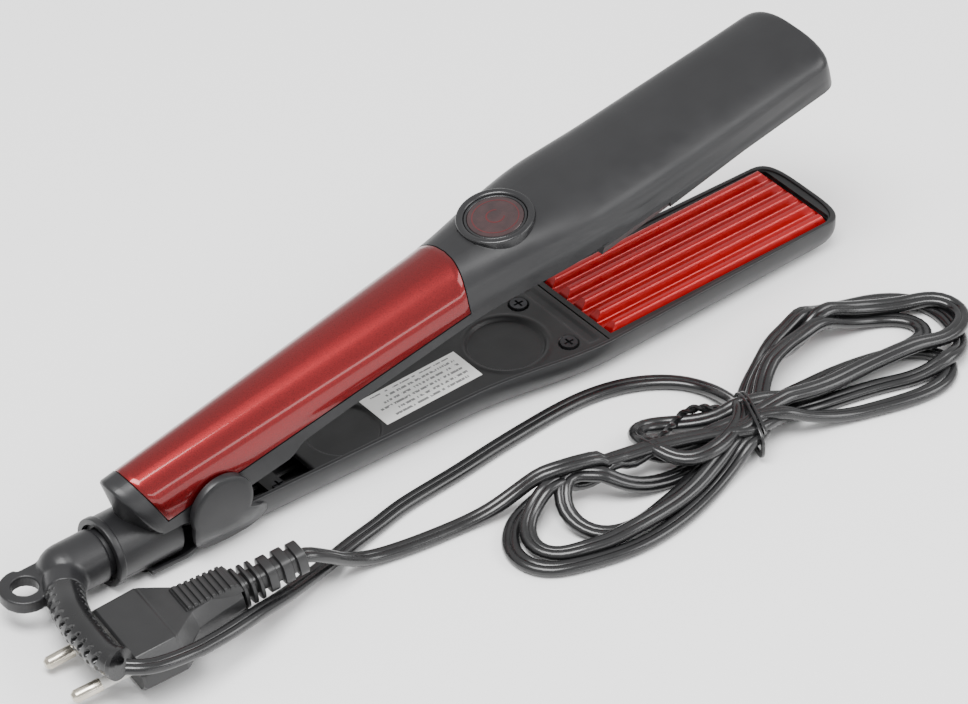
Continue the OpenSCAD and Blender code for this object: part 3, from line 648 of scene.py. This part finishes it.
def surface_point(zone, amount, level, sunk, crease=True):
    """A point (x, y, v) of the near half of the upper arm's outside."""
    end = ARM_LENGTH - sunk
    x = {"rear": UPPER_REAR, "red": 40.0}.get(zone, 180.0)
    lean, v = section_point(x, level, sunk)
    bend = 0.0
    for _ in range(5):
        bend = NOSE_LEAN * (1 - lean ** 1.3) if level[0] != "wall" else 0.0
        half = float(half_width(min(x, end - NOSE_DEPTH - bend))) - sunk
        y = half * lean
        arc = RED_FRONT - RED_ARC_R + sqrt(max(RED_ARC_R ** 2 - y * y, 1.0))
        if zone == "rear":
            x = rear_end(v) + sunk + (red_rear(v) - rear_end(v) - sunk) * amount
        elif zone == "red":
            x = red_rear(v) + (arc - red_rear(v)) * amount
        elif zone == "front":
            x = arc + (end - NOSE_DEPTH - bend - arc) * amount
        else:
            x = end - NOSE_DEPTH - bend + NOSE_DEPTH * cos(amount) ** NOSE_POWER
            y = half * sin(amount) ** NOSE_POWER * lean if amount > 0 else 0.0
        lean, v = section_point(min(x, ARM_LENGTH), level, sunk)
    if crease and zone in ("front", "tip"):
        y *= 1 - crease_depth(x, v) / max(half, 1)
    return x, y, v


def both_halves(points):
    """Near-side points, foot to crown, followed by their mirror images back to the foot."""
    return [(x, -y, v) for x, y, v in points] + [(x, y, v) for x, y, v in points[-2::-1]]


def upper_body():
    """The black upper shell: outside with a pocket for the red skin, inside, rim and rear wall."""
    socket_v = HINGE_V + (SOCKET_Z - HINGE_Z) * cos(OPENING)
    columns = arm_columns()
    outer, inner = [], []
    for c, (zone, amount) in enumerate(columns):
        ring = []
        for k, level in enumerate(LEVELS):
            in_pocket = zone == "red" and 0.001 < amount < 0.999 and k >= RED_ROW
            lip = 0.7 * max(0.0, 1 - amount / 0.16) ** 2 if zone == "rear" else 0.0
            sunk = POCKET if in_pocket else lip
            x, y, v = surface_point(zone, amount, level, sunk)
            if lip:
                x -= lip
            ring.append((x, y, v - button_dip(x, y)))
        outer.append(both_halves(ring))
        ring = []
        for level in LEVELS:
            deep = WALL if level[0] == "wall" else WALL + SKIN
            x, y, v = surface_point(zone, amount, level, deep, False)
            if zone == "rear" and amount < 0.3:
                x = rear_end(v) + (0 if amount < 0.02 else 1.5)
                low = socket_v + (x - UPPER_REAR) * -0.21
                reach = hypot(y, v - low)
                near = min(1.0, (SOCKET_R + 1.3) / max(reach, 0.1))
                y, v = y * near, low + (v - low) * near if v > low else v
            ring.append((x, y, v - button_dip(x, y)))
        inner.append(both_halves(ring))
    n = len(outer[0])
    points = [upper(p) for rings in (outer, inner) for ring in rings for p in ring]
    start = {"outer": 0, "inner": len(columns) * n}

    def index(side, c, k):
        return start[side] + c * n + k

    faces = []
    for side in start:
        faces += grid_faces(lambda c, k: index(side, c, k), len(columns), n)
    for k in (0, n - 1):
        faces += [(index("outer", c, k), index("outer", c + 1, k), index("inner", c + 1, k),
                   index("inner", c, k)) for c in range(len(columns) - 1)]
    faces += [(index("outer", 0, k), index("outer", 0, k + 1), index("inner", 0, k + 1),
               index("inner", 0, k)) for k in range(n - 1)]
    return points, faces


piece("upper_body", upper_body(), "black_plastic", 38, "upper_arm", ["upper_shell"])


def red_skin():
    """The lacquered skin: outside surface with a rolled edge, closed by an inner face."""
    rows = LEVELS[RED_ROW + 1:]
    fractions = np.linspace(0, 1, 60)

    def layer(sunk, margin):
        rings = []
        for f in fractions:
            f = margin + (1 - 2 * margin) * f
            ring = [surface_point("red", f, level, sunk, False) for level in rows]
            x, y, v = ring[0]
            ring[0] = (x, y, v + 0.15 + margin * 60)
            rings.append(both_halves(ring))
        return rings

    layers = [layer(0.0, 0.0042), layer(0.12, 0.0026), layer(0.4, 0.0016), layer(SKIN, 0.0016)]
    n, m = len(layers[0][0]), len(fractions)
    points = [upper(p) for rings in layers for ring in rings for p in ring]

    def index(a, c, k):
        return (a * m + c) * n + k

    faces = [f for a in (0, len(layers) - 1)
             for f in grid_faces(lambda c, k: index(a, c, k), m, n)]
    border = grid_border(m, n)
    for a in range(len(layers) - 1):
        faces += strip([index(a, *b) for b in border], [index(a + 1, *b) for b in border])
    return points, faces


piece("red_skin", red_skin(), "red_metal", 50, "upper_arm", ["handle_shell"])


# ---------------------------------------------------------------- lower arm
def rim_height(x):
    """Top of the lower arm's wall, which sweeps down on an arc to a low sill at the socket."""
    dip_x, dip_z, dip_r = -12.5, 13.2, 9.4
    reach = min(max(x - dip_x, 0.0), dip_r)
    return min(RIM_Z, dip_z - sqrt(dip_r ** 2 - reach ** 2))


LOWER_REAR = -24.0
LOWER_X = np.r_[np.arange(LOWER_REAR, 0, 0.8), np.arange(0, ARM_LENGTH - NOSE_DEPTH, 2.4)]


def lower_ring(inset, shorter, z):
    """One ring of the lower shell; every ring has the same stations."""
    x1 = ARM_LENGTH - shorter
    start = x1 - NOSE_DEPTH
    xs = LOWER_REAR + inset_rear(inset) + (LOWER_X - LOWER_REAR) * (
        (start - LOWER_REAR - inset_rear(inset)) / (ARM_LENGTH - NOSE_DEPTH - LOWER_REAR))
    side = [(x, half_width(x) - inset) for x in np.r_[xs, start]]
    half = half_width(start) - inset
    side += [(start + NOSE_DEPTH * cos(b) ** NOSE_POWER, half * sin(b) ** NOSE_POWER)
             for b in np.radians(NOSE_DEGREES)] + [(x1, 0.0)]
    ring = [(x, -y) for x, y in side] + [(x, y) for x, y in side[-2::-1]]
    out = []
    for x, y in ring:
        top = rim_height(x) - (RIM_Z - z if z > RIM_Z - 1 else 1)
        if x < SOCKET_FRONT + 0.4:
            top = min(top, SOCKET_Z + 0.2 - sqrt(max(SOCKET_R ** 2 - y * y, 0.0)))
        out.append((x, y, min(z, top)))
    return out


def inset_rear(inset):
    return inset if inset < 3 else 0.0


def lower_body():
    rings = []
    for a in np.radians(np.arange(0, 91, 9)):
        rings.append(lower_ring(7.5 * (1 - sin(a)) + 0.0, 6 * (1 - sin(a)),
                                9 * (1 - cos(a))))
    rings += [lower_ring(0, 0, RIM_Z - 0.5), lower_ring(0.06, 0.06, RIM_Z - 0.22),
              lower_ring(0.2, 0.2, RIM_Z - 0.06), lower_ring(0.42, 0.42, RIM_Z),
              lower_ring(WALL - 0.3, WALL - 0.3, RIM_Z),
              lower_ring(WALL - 0.08, WALL - 0.08, RIM_Z - 0.09),
              lower_ring(WALL, WALL, RIM_Z - 0.35), lower_ring(WALL, WALL, 4.5),
              lower_ring(WALL + 1, WALL + 1, 2.4), lower_ring(WALL + 2.9, WALL + 2.9, WALL)]
    return lofted(rings)


piece("lower_body", lower_body(), "black_plastic", 38, "root", ["lower_shell"])


def ear(side):
    """Round hinge ear that flows down into the side of the lower arm."""
    outline_xz = []
    for t in np.radians(np.arange(-24, 201, 4)):
        outline_xz.append((EAR_R * cos(t), HINGE_Z + EAR_R * sin(t)))
    outline_xz += [(-10.3, 11.6), (-9.9, 8.6), (-8.8, 5.8), (-6.2, 4.0), (-2, 3.3), (4, 3.1),
                   (10, 3.4), (14.6, 4.6), (17, 6.6), (17.4, 8.6), (15.8, 10.2), (13.6, 11.2),
                   (11.7, 12.2)]
    centre = (1.0, 13.5)

    def face_y(x, z):
        disc = smooth((EAR_R + 0.6 - hypot(x, z - HINGE_Z)) / 0.6)
        body = float(half_width(max(x, -14))) - 0.06
        down = smooth((z - 3.2) / 7.5) * smooth((18 - x) / 8)
        return float(max(disc * EAR_OUT, body + (EAR_OUT - body) * down))

    rings = []
    for shrink, back in ((1.0, None), (1.0, 0.55), (0.985, 0.16), (0.955, 0.0), (0.85, 0.0),
                         (0.7, 0.0), (0.5, 0.0), (0.3, 0.0), (0.12, 0.0)):
        ring = []
        for x, z in outline_xz:
            px, pz = centre[0] + (x - centre[0]) * shrink, centre[1] + (z - centre[1]) * shrink
            y = EAR_IN - 0.3 if back is None else face_y(px, pz) - back
            y = max(y, EAR_IN - 0.3) if back is None else y
            ring.append((px, side * y, pz))
        rings.append(ring)
    return lofted(rings)


for side, word in ((-1, "near"), (1, "far")):
    piece(f"ear_{word}", ear(side), "black_plastic", 40, "root")


# ---------------------------------------------------------------- inner cover
def cover_top(x):
    return RIM_Z - 0.5 - 1.7 * (COVER_END - x) / COVER_LENGTH


def cover_relief(x, y, half):
    """Depth of the moulded features below the cover's plane."""
    def bowl(signed, wall, depth):
        return depth * float(smooth(0.5 - signed / wall))

    x_a, x_b = COVER_START + 0.758 * COVER_LENGTH, COVER_START + 0.165 * COVER_LENGTH
    r_a, r_b = 0.115 * COVER_LENGTH, 0.109 * COVER_LENGTH
    to_a = hypot(x - x_a, y) - r_a
    to_b = max(hypot(x - x_b, y) - r_b, abs(y) - (GRIP_WIDTH / 2 - 3.6))
    depth = bowl(to_a, 1.0, 1.15) + bowl(to_b, 0.9, 0.95)
    depth -= 0.28 * exp(-((to_a - 1.3) / 0.7) ** 2)
    for s in (-1, 1):
        depth += bowl(hypot(x - SCREW_X, y - s * SCREW_Y) - 3.1, 0.6, 1.1)
    channel = max(abs(x - (COVER_END - 4.1)) - 1.6, abs(y) - (half - 2.6))
    depth += bowl(channel, 1.1, 0.55)
    edge = min(half - abs(y), x - COVER_START, COVER_END - x)
    return depth + 0.45 * (1 - sqrt(1 - (1 - min(1.0, edge / 0.5)) ** 2))


def inner_cover():
    xs = np.r_[COVER_START + np.array([0, 0.06, 0.16, 0.3, 0.5]),
               np.arange(COVER_START + 0.9, COVER_END - 0.6, 0.42),
               COVER_END - np.array([0.5, 0.3, 0.16, 0.06, 0])]
    across = np.linspace(-1, 1, 89)
    rim = np.array([0.985, 0.993, 0.998, 1.0])
    across = np.r_[-rim[::-1], across[1:-1], rim]
    top, bottom = [], []
    for x in xs:
        half = float(half_width(x)) - WALL - 0.05
        top.append([(x, u * half, cover_top(x) - cover_relief(x, u * half, half))
                    for u in across])
        bottom.append([(x, u * half, cover_top(x) - 2.0) for u in across])
    n, m = len(across), len(xs)
    points = [p for side in (top, bottom) for ring in side for p in ring]
    faces = [f for a in (0, 1) for f in grid_faces(lambda c, k: (a * m + c) * n + k, m, n)]
    border = grid_border(m, n)
    faces += strip([c * n + k for c, k in border], [(m + c) * n + k for c, k in border])
    return points, faces


piece("inner_cover", inner_cover(), "inner_plastic", 50, "root", ["lower_inner_cover"])


# ---------------------------------------------------------------- crimp plates
PLATE_REACH = 2 * PITCH + 2.1
DECK_START = PLATE_START - 2.2
RIDGE_SECTION = [(-2.9, 0), (-2.45, 0.02), (-2.15, 0.16), (-1.95, 0.45), (-1.22, 2.3),
                 (-1.04, 2.68), (-0.8, 2.9), (-0.5, 2.98), (0, 3.0)]
RIDGE_SECTION += [(-a, b) for a, b in RIDGE_SECTION[-2::-1]]


def crimp_plate(count, inset):
    """Ridged plate with slanted ends and corners that follow the nose; valleys at height 0."""
    reach = PLATE_REACH
    centres = [(i - (count - 1) / 2) * PITCH for i in range(count)]
    section = [(-reach, -PLATE_BASE), (-reach, -0.3), (-reach + 0.3, 0)]
    section += [(c + a, h) for c in centres for a, h in RIDGE_SECTION
                if abs(c + a) < reach - 0.35]
    section += [(reach - 0.3, 0), (reach, -0.3), (reach, -PLATE_BASE)]
    tip = ARM_LENGTH - inset

    def nose_x(y):
        half = half_width(tip - NOSE_DEPTH) - inset
        s = min(1.0, (abs(y) / half)) ** (1 / NOSE_POWER)
        return tip - NOSE_DEPTH + NOSE_DEPTH * sqrt(1 - s * s) ** NOSE_POWER

    rings = []
    for f in np.r_[0, 0.002, np.linspace(0.02, 0.98, 30), 0.998, 1]:
        end = 0.25 * float(f in (0.0, 1.0))
        rings.append([(PLATE_START + 0.9 * max(h, 0) + f * (
            min(PLATE_END, nose_x(y)) - PLATE_START - 1.8 * max(h, 0)), y,
            h - (end if h > 0.3 else 0)) for y, h in section])
    return lofted(rings)


PLATE_INSET = WALL + 0.3
piece("plate_lower", crimp_plate(5, PLATE_INSET), "red_coating", 45, "root",
      ["lower_crimp_plate"], lambda p: (p[0], p[1], p[2] + VALLEY_Z))
piece("plate_upper", crimp_plate(4, PLATE_INSET), "red_coating", 45, "upper_arm",
      ["upper_crimp_plate"], lambda p: upper((p[0], p[1], PLATE_GAP - p[2])))


def plate_deck():
    """Flat frame between the lower plate and the shell's wall, just under the rim."""
    reach, gap, inset = PLATE_REACH, 0.3, WALL + 0.06
    tip = ARM_LENGTH - inset
    pairs = [((x, half_width(x) - inset), (max(x, PLATE_START - gap), reach + gap))
             for x in np.arange(DECK_START, tip - NOSE_DEPTH, 2.0)]
    half = half_width(tip - NOSE_DEPTH) - inset
    for b in np.radians(NOSE_DEGREES):
        outer_x = tip - NOSE_DEPTH + NOSE_DEPTH * cos(b) ** NOSE_POWER
        outer_y = half * sin(b) ** NOSE_POWER
        y = min(outer_y * (reach + gap) / half, reach + gap)
        bow = sqrt(1 - (y / half) ** (2 / NOSE_POWER)) ** NOSE_POWER
        inner_x = tip - gap - NOSE_DEPTH + NOSE_DEPTH * bow
        pairs.append(((outer_x, outer_y), (min(PLATE_END + gap, inner_x - 0.3), y)))
    pairs = ([((x, -y), (u, -w)) for (x, y), (u, w) in pairs]
             + [((tip, 0.0), (PLATE_END + gap, 0.0))] + pairs[::-1])
    pairs += [((DECK_START, y), (PLATE_START - gap, y * 0.9)) for y in (10.0, 0.0, -10.0)]
    top = RIM_Z - 0.55
    rings = [[(*outer, top - 3.5), (*outer, top), (*inner, top), (*inner, top - 3.5)]
             for outer, inner in pairs]
    return lofted(rings + [rings[0]], capped=False)


round_edges(piece("plate_deck", plate_deck(), "frame_plastic", 40, "root"), 0.15, 2, 50)


# ---------------------------------------------------------------- button
def on_button(p):
    """A point drawn round the button's centre, Z along its stroke."""
    tilt = radians(3.5)
    x, y, z = p
    lift = float(np.interp(BUTTON_X, *zip(*CROWN_LINE)))
    return upper((BUTTON_X + x * cos(tilt) + z * sin(tilt), y,
                  lift - x * sin(tilt) + z * cos(tilt)))


def lathe(profile, place, sides=96, ring=False):
    """Revolves (height, radius) pairs about Z through `place`; ring closes the profile."""
    angles = np.linspace(0, 2 * pi, sides, endpoint=False)
    rings = [[place((r * cos(t), r * sin(t), z)) for t in angles]
             for z, r in profile]
    if ring:
        return lofted(rings + [rings[0]], capped=False)
    return lofted(rings)


bezel = filleted([(-4.5, BEZEL_R), (0.75, BEZEL_R), (0.95, 10.9), (0.6, CAP_R + 0.12),
                  (-4.5, CAP_R + 0.12)], 0.55)
piece("bezel_ring", lathe(bezel, on_button, ring=True), "gloss_black", 40, "upper_arm",
      ["button_bezel"])
cap_profile = [(-7.2, 2.0), (-4.0, 2.0), (-4.0, CAP_R)] + filleted(
    [(-3.8, CAP_R), (0.3, CAP_R), (0.3, CAP_R - 0.7), (-0.1, CAP_R - 0.95)], 0.3) + [
    (-0.1, 3.0)]
piece("button_rim", lathe(cap_profile, on_button), "gloss_black", 40, "power_button",
      ["button_cap"])
LENS_R = CAP_R - 0.98
dome = [(-0.55, LENS_R), (0.1, LENS_R), (0.24, LENS_R - 0.12)] + [
    (0.24 + 0.3 * (1 - (r / LENS_R) ** 2), r) for r in np.linspace(LENS_R - 0.4, 0.3, 12)]
piece("lens_dome", lathe(dome, on_button), "smoky_lens", 40, "power_button", ["button_lens"])


def dome_band(inner, outer, start, stop, steps=48):
    """A thin printed arc that follows the lens's dome."""
    rings = []
    for t in np.linspace(start, stop, steps):
        ring = []
        for r, lift in ((inner, 0.0), (outer, 0.0), (outer, 0.035), (inner, 0.035)):
            z = 0.23 + 0.3 * (1 - (r / LENS_R) ** 2) + lift
            ring.append(on_button((r * cos(t), r * sin(t), z)))
        rings.append(ring)
    return lofted(rings)


plastic("printed_red", (0.055, 0.007, 0.009), (0.08, 0.010, 0.012),
                                (0.25, 0.35), relief=0.05)
for word, arc in (("edge", (6.9, 7.25, 0, 2 * pi - 0.001)),
                  ("arc", (2.5, 2.95, 0.75, 2 * pi - 0.75))):
    mark = piece(f"lens_mark_{word}", dome_band(*arc), "printed_red", 40, "power_button")


# ---------------------------------------------------------------- socket and swivel
def socket_part(from_deg, to_deg):
    """Part of the socket's tube round the X axis, between two angles from +Y."""
    section = filleted([(SOCKET_REAR, 9.05), (SOCKET_REAR, SOCKET_R + 0.5),
                        (SOCKET_REAR + 2.2, SOCKET_R + 0.5), (SOCKET_REAR + 2.35, SOCKET_R),
                        (SOCKET_FRONT - 0.1, SOCKET_R), (SOCKET_FRONT - 0.1, 3.2),
                        (SOCKET_FRONT - 1.3, 3.2), (SOCKET_FRONT - 1.3, 9.05),
                        (SOCKET_REAR, 9.05)], 0.35)[:-1]
    rings = [[(x, r * cos(t), SOCKET_Z + r * sin(t)) for x, r in section]
             for t in np.radians(np.linspace(from_deg, to_deg, 72))]
    return lofted(rings)


SEAM_DEG = degrees(asin((SOCKET_Z - SEAM_Z) / SOCKET_R))
piece("socket_upper_half", socket_part(-SEAM_DEG + 0.5, 180 + SEAM_DEG - 0.5),
      "black_plastic", replaces=["socket_cap"])
piece("socket_lower_half", socket_part(180 + SEAM_DEG + 0.6, 360 - SEAM_DEG - 0.6),
      "black_plastic")

RELIEF = [(-48, -2, 10.4), (-51.6, -5.5, 10.6), (-55.4, -12, 11.7), (-58.8, -19.8, 13.5),
          (-61.2, -28, 14.5), (-62.4, -35, 15.2), (-63.2, -41, 16), (-63.2, -45.4, 16.7),
          (-62.5, -48.5, 17)]


def merged(name, parts, voxel, rounds):
    """One moulded body from overlapping solids: voxel union, then softened."""
    meshes = []
    for points, faces in parts:
        mesh = bpy.data.meshes.new("part")
        mesh.from_pydata([tuple(c * MM for c in p) for p in points], [], faces)
        meshes.append(mesh)
    bm = bmesh.new()
    for mesh in meshes:
        bm.from_mesh(mesh)
        bpy.data.meshes.remove(mesh)
    bmesh.ops.recalc_face_normals(bm, faces=bm.faces)
    source = bpy.data.meshes.new(name)
    bm.to_mesh(source)
    bm.free()
    obj = bpy.data.objects.new(name, source)
    scene.collection.objects.link(obj)
    remesh = obj.modifiers.new("union", "REMESH")
    remesh.mode, remesh.voxel_size = "VOXEL", voxel * MM
    soften = obj.modifiers.new("soften", "SMOOTH")
    soften.factor, soften.iterations = 0.5, rounds
    done = bpy.data.meshes.new_from_object(
        obj.evaluated_get(bpy.context.evaluated_depsgraph_get()))
    bpy.data.objects.remove(obj)
    points = [tuple(c / MM for c in v.co) for v in done.vertices]
    return points, [tuple(p.vertices) for p in done.polygons]


def along_x(profile, sides=64):
    """Revolves (x, radius) pairs round the swivel's axis."""
    return lofted([[(x, r * cos(t), SOCKET_Z + r * sin(t))
                    for t in np.linspace(0, 2 * pi, sides, endpoint=False)]
                   for x, r in profile])


def loop_tab():
    """Flat hanging loop with its hole, as rings round the rim."""
    rings = []
    outer_r, thick = LOOP_HOLE_R + 3.7, 2.0
    for t in np.radians(np.arange(0, 360, 5)):
        c, s = cos(t), sin(t)
        far = outer_r
        if c > 0:
            far = min((-50 - LOOP_X) / max(c, 1e-6), (LOOP_HOLE_R + 2.6) / max(abs(s), 1e-6), 14)
            far = max(far, outer_r if c < 0.25 else LOOP_HOLE_R + 2.6)
        rings.append([(LOOP_X + r * c, r * s, SOCKET_Z + z)
                      for r, z in ((LOOP_HOLE_R, -thick), (far, -thick), (far, thick),
                                   (LOOP_HOLE_R, thick))])
    return lofted(rings + [rings[0]], capped=False)


ball = [(-47.5 - NECK_R * cos(a), NECK_R * sin(a))
        for a in np.radians([2, 10, 20, 32, 45, 60, 75, 90])]
relief_path = spline(RELIEF, 0.5)
root_of_relief = relief_path[:22]
parts = [along_x(ball + [(-36.2, NECK_R)]), loop_tab(),
         lofted(swept(root_of_relief, [(cos(t), sin(t)) for t in
                                       np.linspace(0, 2 * pi, 32, endpoint=False)],
                      scale=np.linspace(7.0, 6.15, len(root_of_relief))))]
piece("elbow_body", merged("elbow", parts, 0.42, 7), "black_plastic", 60, "swivel",
      ["swivel_elbow"])
journal = filleted([(-36.3, 7.0), (-36.3, 7.35), (-19, 7.35), (-19, 8.5), (-17.2, 8.5),
                    (-17.2, 2.6), (-36, 2.6)], 0.2)
piece("elbow_journal", along_x(journal), "black_plastic", 40, "swivel")


def slotted_relief():
    """Tapered bend relief with a row of oval slots down each shoulder."""
    path = spline(RELIEF, 0.25)[20:]
    sides, pitch_s, first = 96, 3.75, 7.0
    rings = []
    distances = np.arange(len(path)) * 0.25
    for (p, w, h), s in zip(frames_along(path), distances):
        radius = 6.05 - 1.6 * s / distances[-1]
        if s > distances[-1] - 1.6:
            radius += 0.55
        ring = []
        for a in np.linspace(0, 2 * pi, sides, endpoint=False):
            sunk = 0.0
            for row in (150, 30, -30, -150):
                turn = remainder(a - radians(row), 2 * pi)
                local = s - first + 0.30 * radius * turn
                k = round(local / pitch_s)
                if 0 <= k <= 9 and s < distances[-1] - 2.6:
                    q = hypot((local - k * pitch_s) / 0.95, radius * turn / 2.5)
                    sunk = max(sunk, 1.7 * float(smooth((1.0 - q) / 0.3)))
            ring.append(p + (w * cos(a) + h * sin(a)) * (radius - sunk))
        rings.append(ring)
    return lofted(rings)


relief = piece("bend_relief", slotted_relief(), "cord_plastic", 60, "swivel",
               ["cord_relief", "relief_collar"])

# ---------------------------------------------------------------- plug
PLUG_PLACE = (Matrix.Translation((-53.9, -34.5, 7.2)) @ Matrix.Rotation(radians(-8.7), 4, "Z")
              @ Matrix.Rotation(radians(-9), 4, "Y")
              @ Matrix.Rotation(radians(-4), 4, "X"))


def on_plug(p):
    """A point drawn with the plug's face at x = 0, as the plug lies."""
    return tuple(PLUG_PLACE @ Vector(p))


def plug_shell():
    """Chamfered block behind the pins, tapering to the grip: octagons along X."""
    rings = []
    for x, w, h, flat in ((0, 16.6, 5.9, 12.4), (0.9, 17.4, 6.6, 12.8), (13.6, 17.6, 6.85, 13),
                          (14.0, 17.4, 6.6, 12.9), (14.5, 17.2, 6.75, 12.6),
                          (18.6, 13.4, 6.6, 9.6), (22.5, 9.9, 6.4, 6.6), (30, 8.0, 6.0, 5.4),
                          (38.5, 6.4, 5.4, 4.4)):
        edge = h * 0.36
        rings.append([(x, -w, -edge), (x, -flat, -h), (x, flat, -h), (x, w, -edge),
                      (x, w, edge), (x, flat, h), (x, -flat, h), (x, -w, edge)])
    return lofted(rings)


def grip_pad(side):
    """Raised pad with eight cross ribs on one face of the plug."""
    top = [(20.6, 5.2), (21.4, 7.35)]
    ribs, first, step = 8, 22.1, 1.98
    for i in range(ribs):
        x, z = first + i * step, 7.55 - 0.10 * i
        top += [(x - 0.2, z - 0.75), (x, z), (x + 1.0, z - 0.02), (x + 1.2, z - 0.75)]
    top += [(38.2, 6.3), (39.2, 4.6)]
    rings = []
    for y, sink in ((-5.9, 0.5), (-5.55, 0.0), (5.55, 0.0), (5.9, 0.5)):
        ring = [(x, y * (1.06 - 0.004 * x), side * (z - sink)) for x, z in top]
        ring += [(39.2, y, side * 3.5), (20.6, y, side * 3.5)]
        rings.append(ring)
    return lofted(rings)


plug = round_edges(piece("plug_shell", plug_shell(), "plug_plastic", 25, "root",
                         ["plug_body"], on_plug), 0.42, 3, 12)
for side, word in ((1, "top"), (-1, "bottom")):
    round_edges(piece(f"plug_grip_{word}", grip_pad(side), "plug_plastic", 25,
                                  place=on_plug), 0.14, 2, 30)


def plug_tail():
    """Three thin ribs, then three blocks on a round core."""
    spans = [(39.3, 40.7, 5.7, 5.1), (41.9, 43.3, 5.55, 5.0), (44.5, 45.9, 5.4, 4.9),
             (47.8, 50.9, 4.9, 4.6), (52.7, 56.0, 4.8, 4.4), (57.6, 60.8, 4.6, 4.2)]
    profile = [(38, 3.4, 3.2)]
    for a, b, w, h in spans:
        profile += [(a, 3.4, 3.1), (a + 0.02, w - 0.35, h - 0.35), (a + 0.25, w, h),
                    (b - 0.25, w, h), (b - 0.02, w - 0.35, h - 0.35), (b, 3.4, 3.0)]
    rings = []
    for x, w, h in profile:
        rings.append([(x, w * copysign(abs(cos(t)) ** 0.55, cos(t)),
                       h * copysign(abs(sin(t)) ** 0.55, sin(t)))
                      for t in np.linspace(0, 2 * pi, 40, endpoint=False)])
    return lofted(rings)


tail = piece("plug_tail", plug_tail(), "plug_plastic", 35, "root", ["plug_relief"], on_plug)


# ---------------------------------------------------------------- tie
def ribbon(name, path, width, thick, up=(0, 0, 1)):
    outline = [(width / 2 * a, thick / 2 * b) for a, b in
               ((-1, -0.5), (-0.9, -1), (0.9, -1), (1, -0.5), (1, 0.5), (0.9, 1), (-0.9, 1),
                (-1, 0.5))]
    return piece(name, lofted(swept(np.array(path), outline, ups=up)), "cord_plastic", 50)


TIE_SIDE = np.array([TIE_DIRECTION[1], -TIE_DIRECTION[0]])


def tie_loop():
    """One and a half turns of coated wire drawn round the bundle."""
    path = []
    for t in np.radians(np.arange(-40, 505, 6)):
        c, s = cos(t), sin(t)
        across = 11.6 * copysign(abs(c) ** 0.7, c)
        z = 5.9 + 5.3 * copysign(abs(s) ** 0.7, s)
        plan = TIE_AT + TIE_DIRECTION * across + TIE_SIDE * (2.2 * t / (3 * pi) - 0.9)
        path.append((*plan, z))
    return path


def twisted_tail(phase):
    spine = spline([(150.5, -62.5, 7.2), (147.5, -59, 7.4), (145, -55.5, 6.4), (141.5, -54, 5.2),
                    (136.5, -55.4, 4.6), (131.5, -57, 4.2), (127, -58.2, 4)], 0.8)
    out = []
    for k, (p, w, h) in enumerate(frames_along(spine)):
        turn = phase + k * 0.8 / 1.15
        r = 0.62 + 0.9 * float(smooth((k - len(spine) + 6) / 6)) * abs(sin(phase / 2 + 0.6))
        out.append(p + (w * cos(turn) + h * sin(turn)) * r)
    return out


tie = ribbon("tie_loop", tie_loop(), 1.9, 0.85, up=(*TIE_SIDE, 0))
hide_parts("twist_tie")
tails = [ribbon(f"tie_end_{word}", twisted_tail(phase), 1.25, 1.05)
         for word, phase in (("a", 0.0), ("b", pi))]
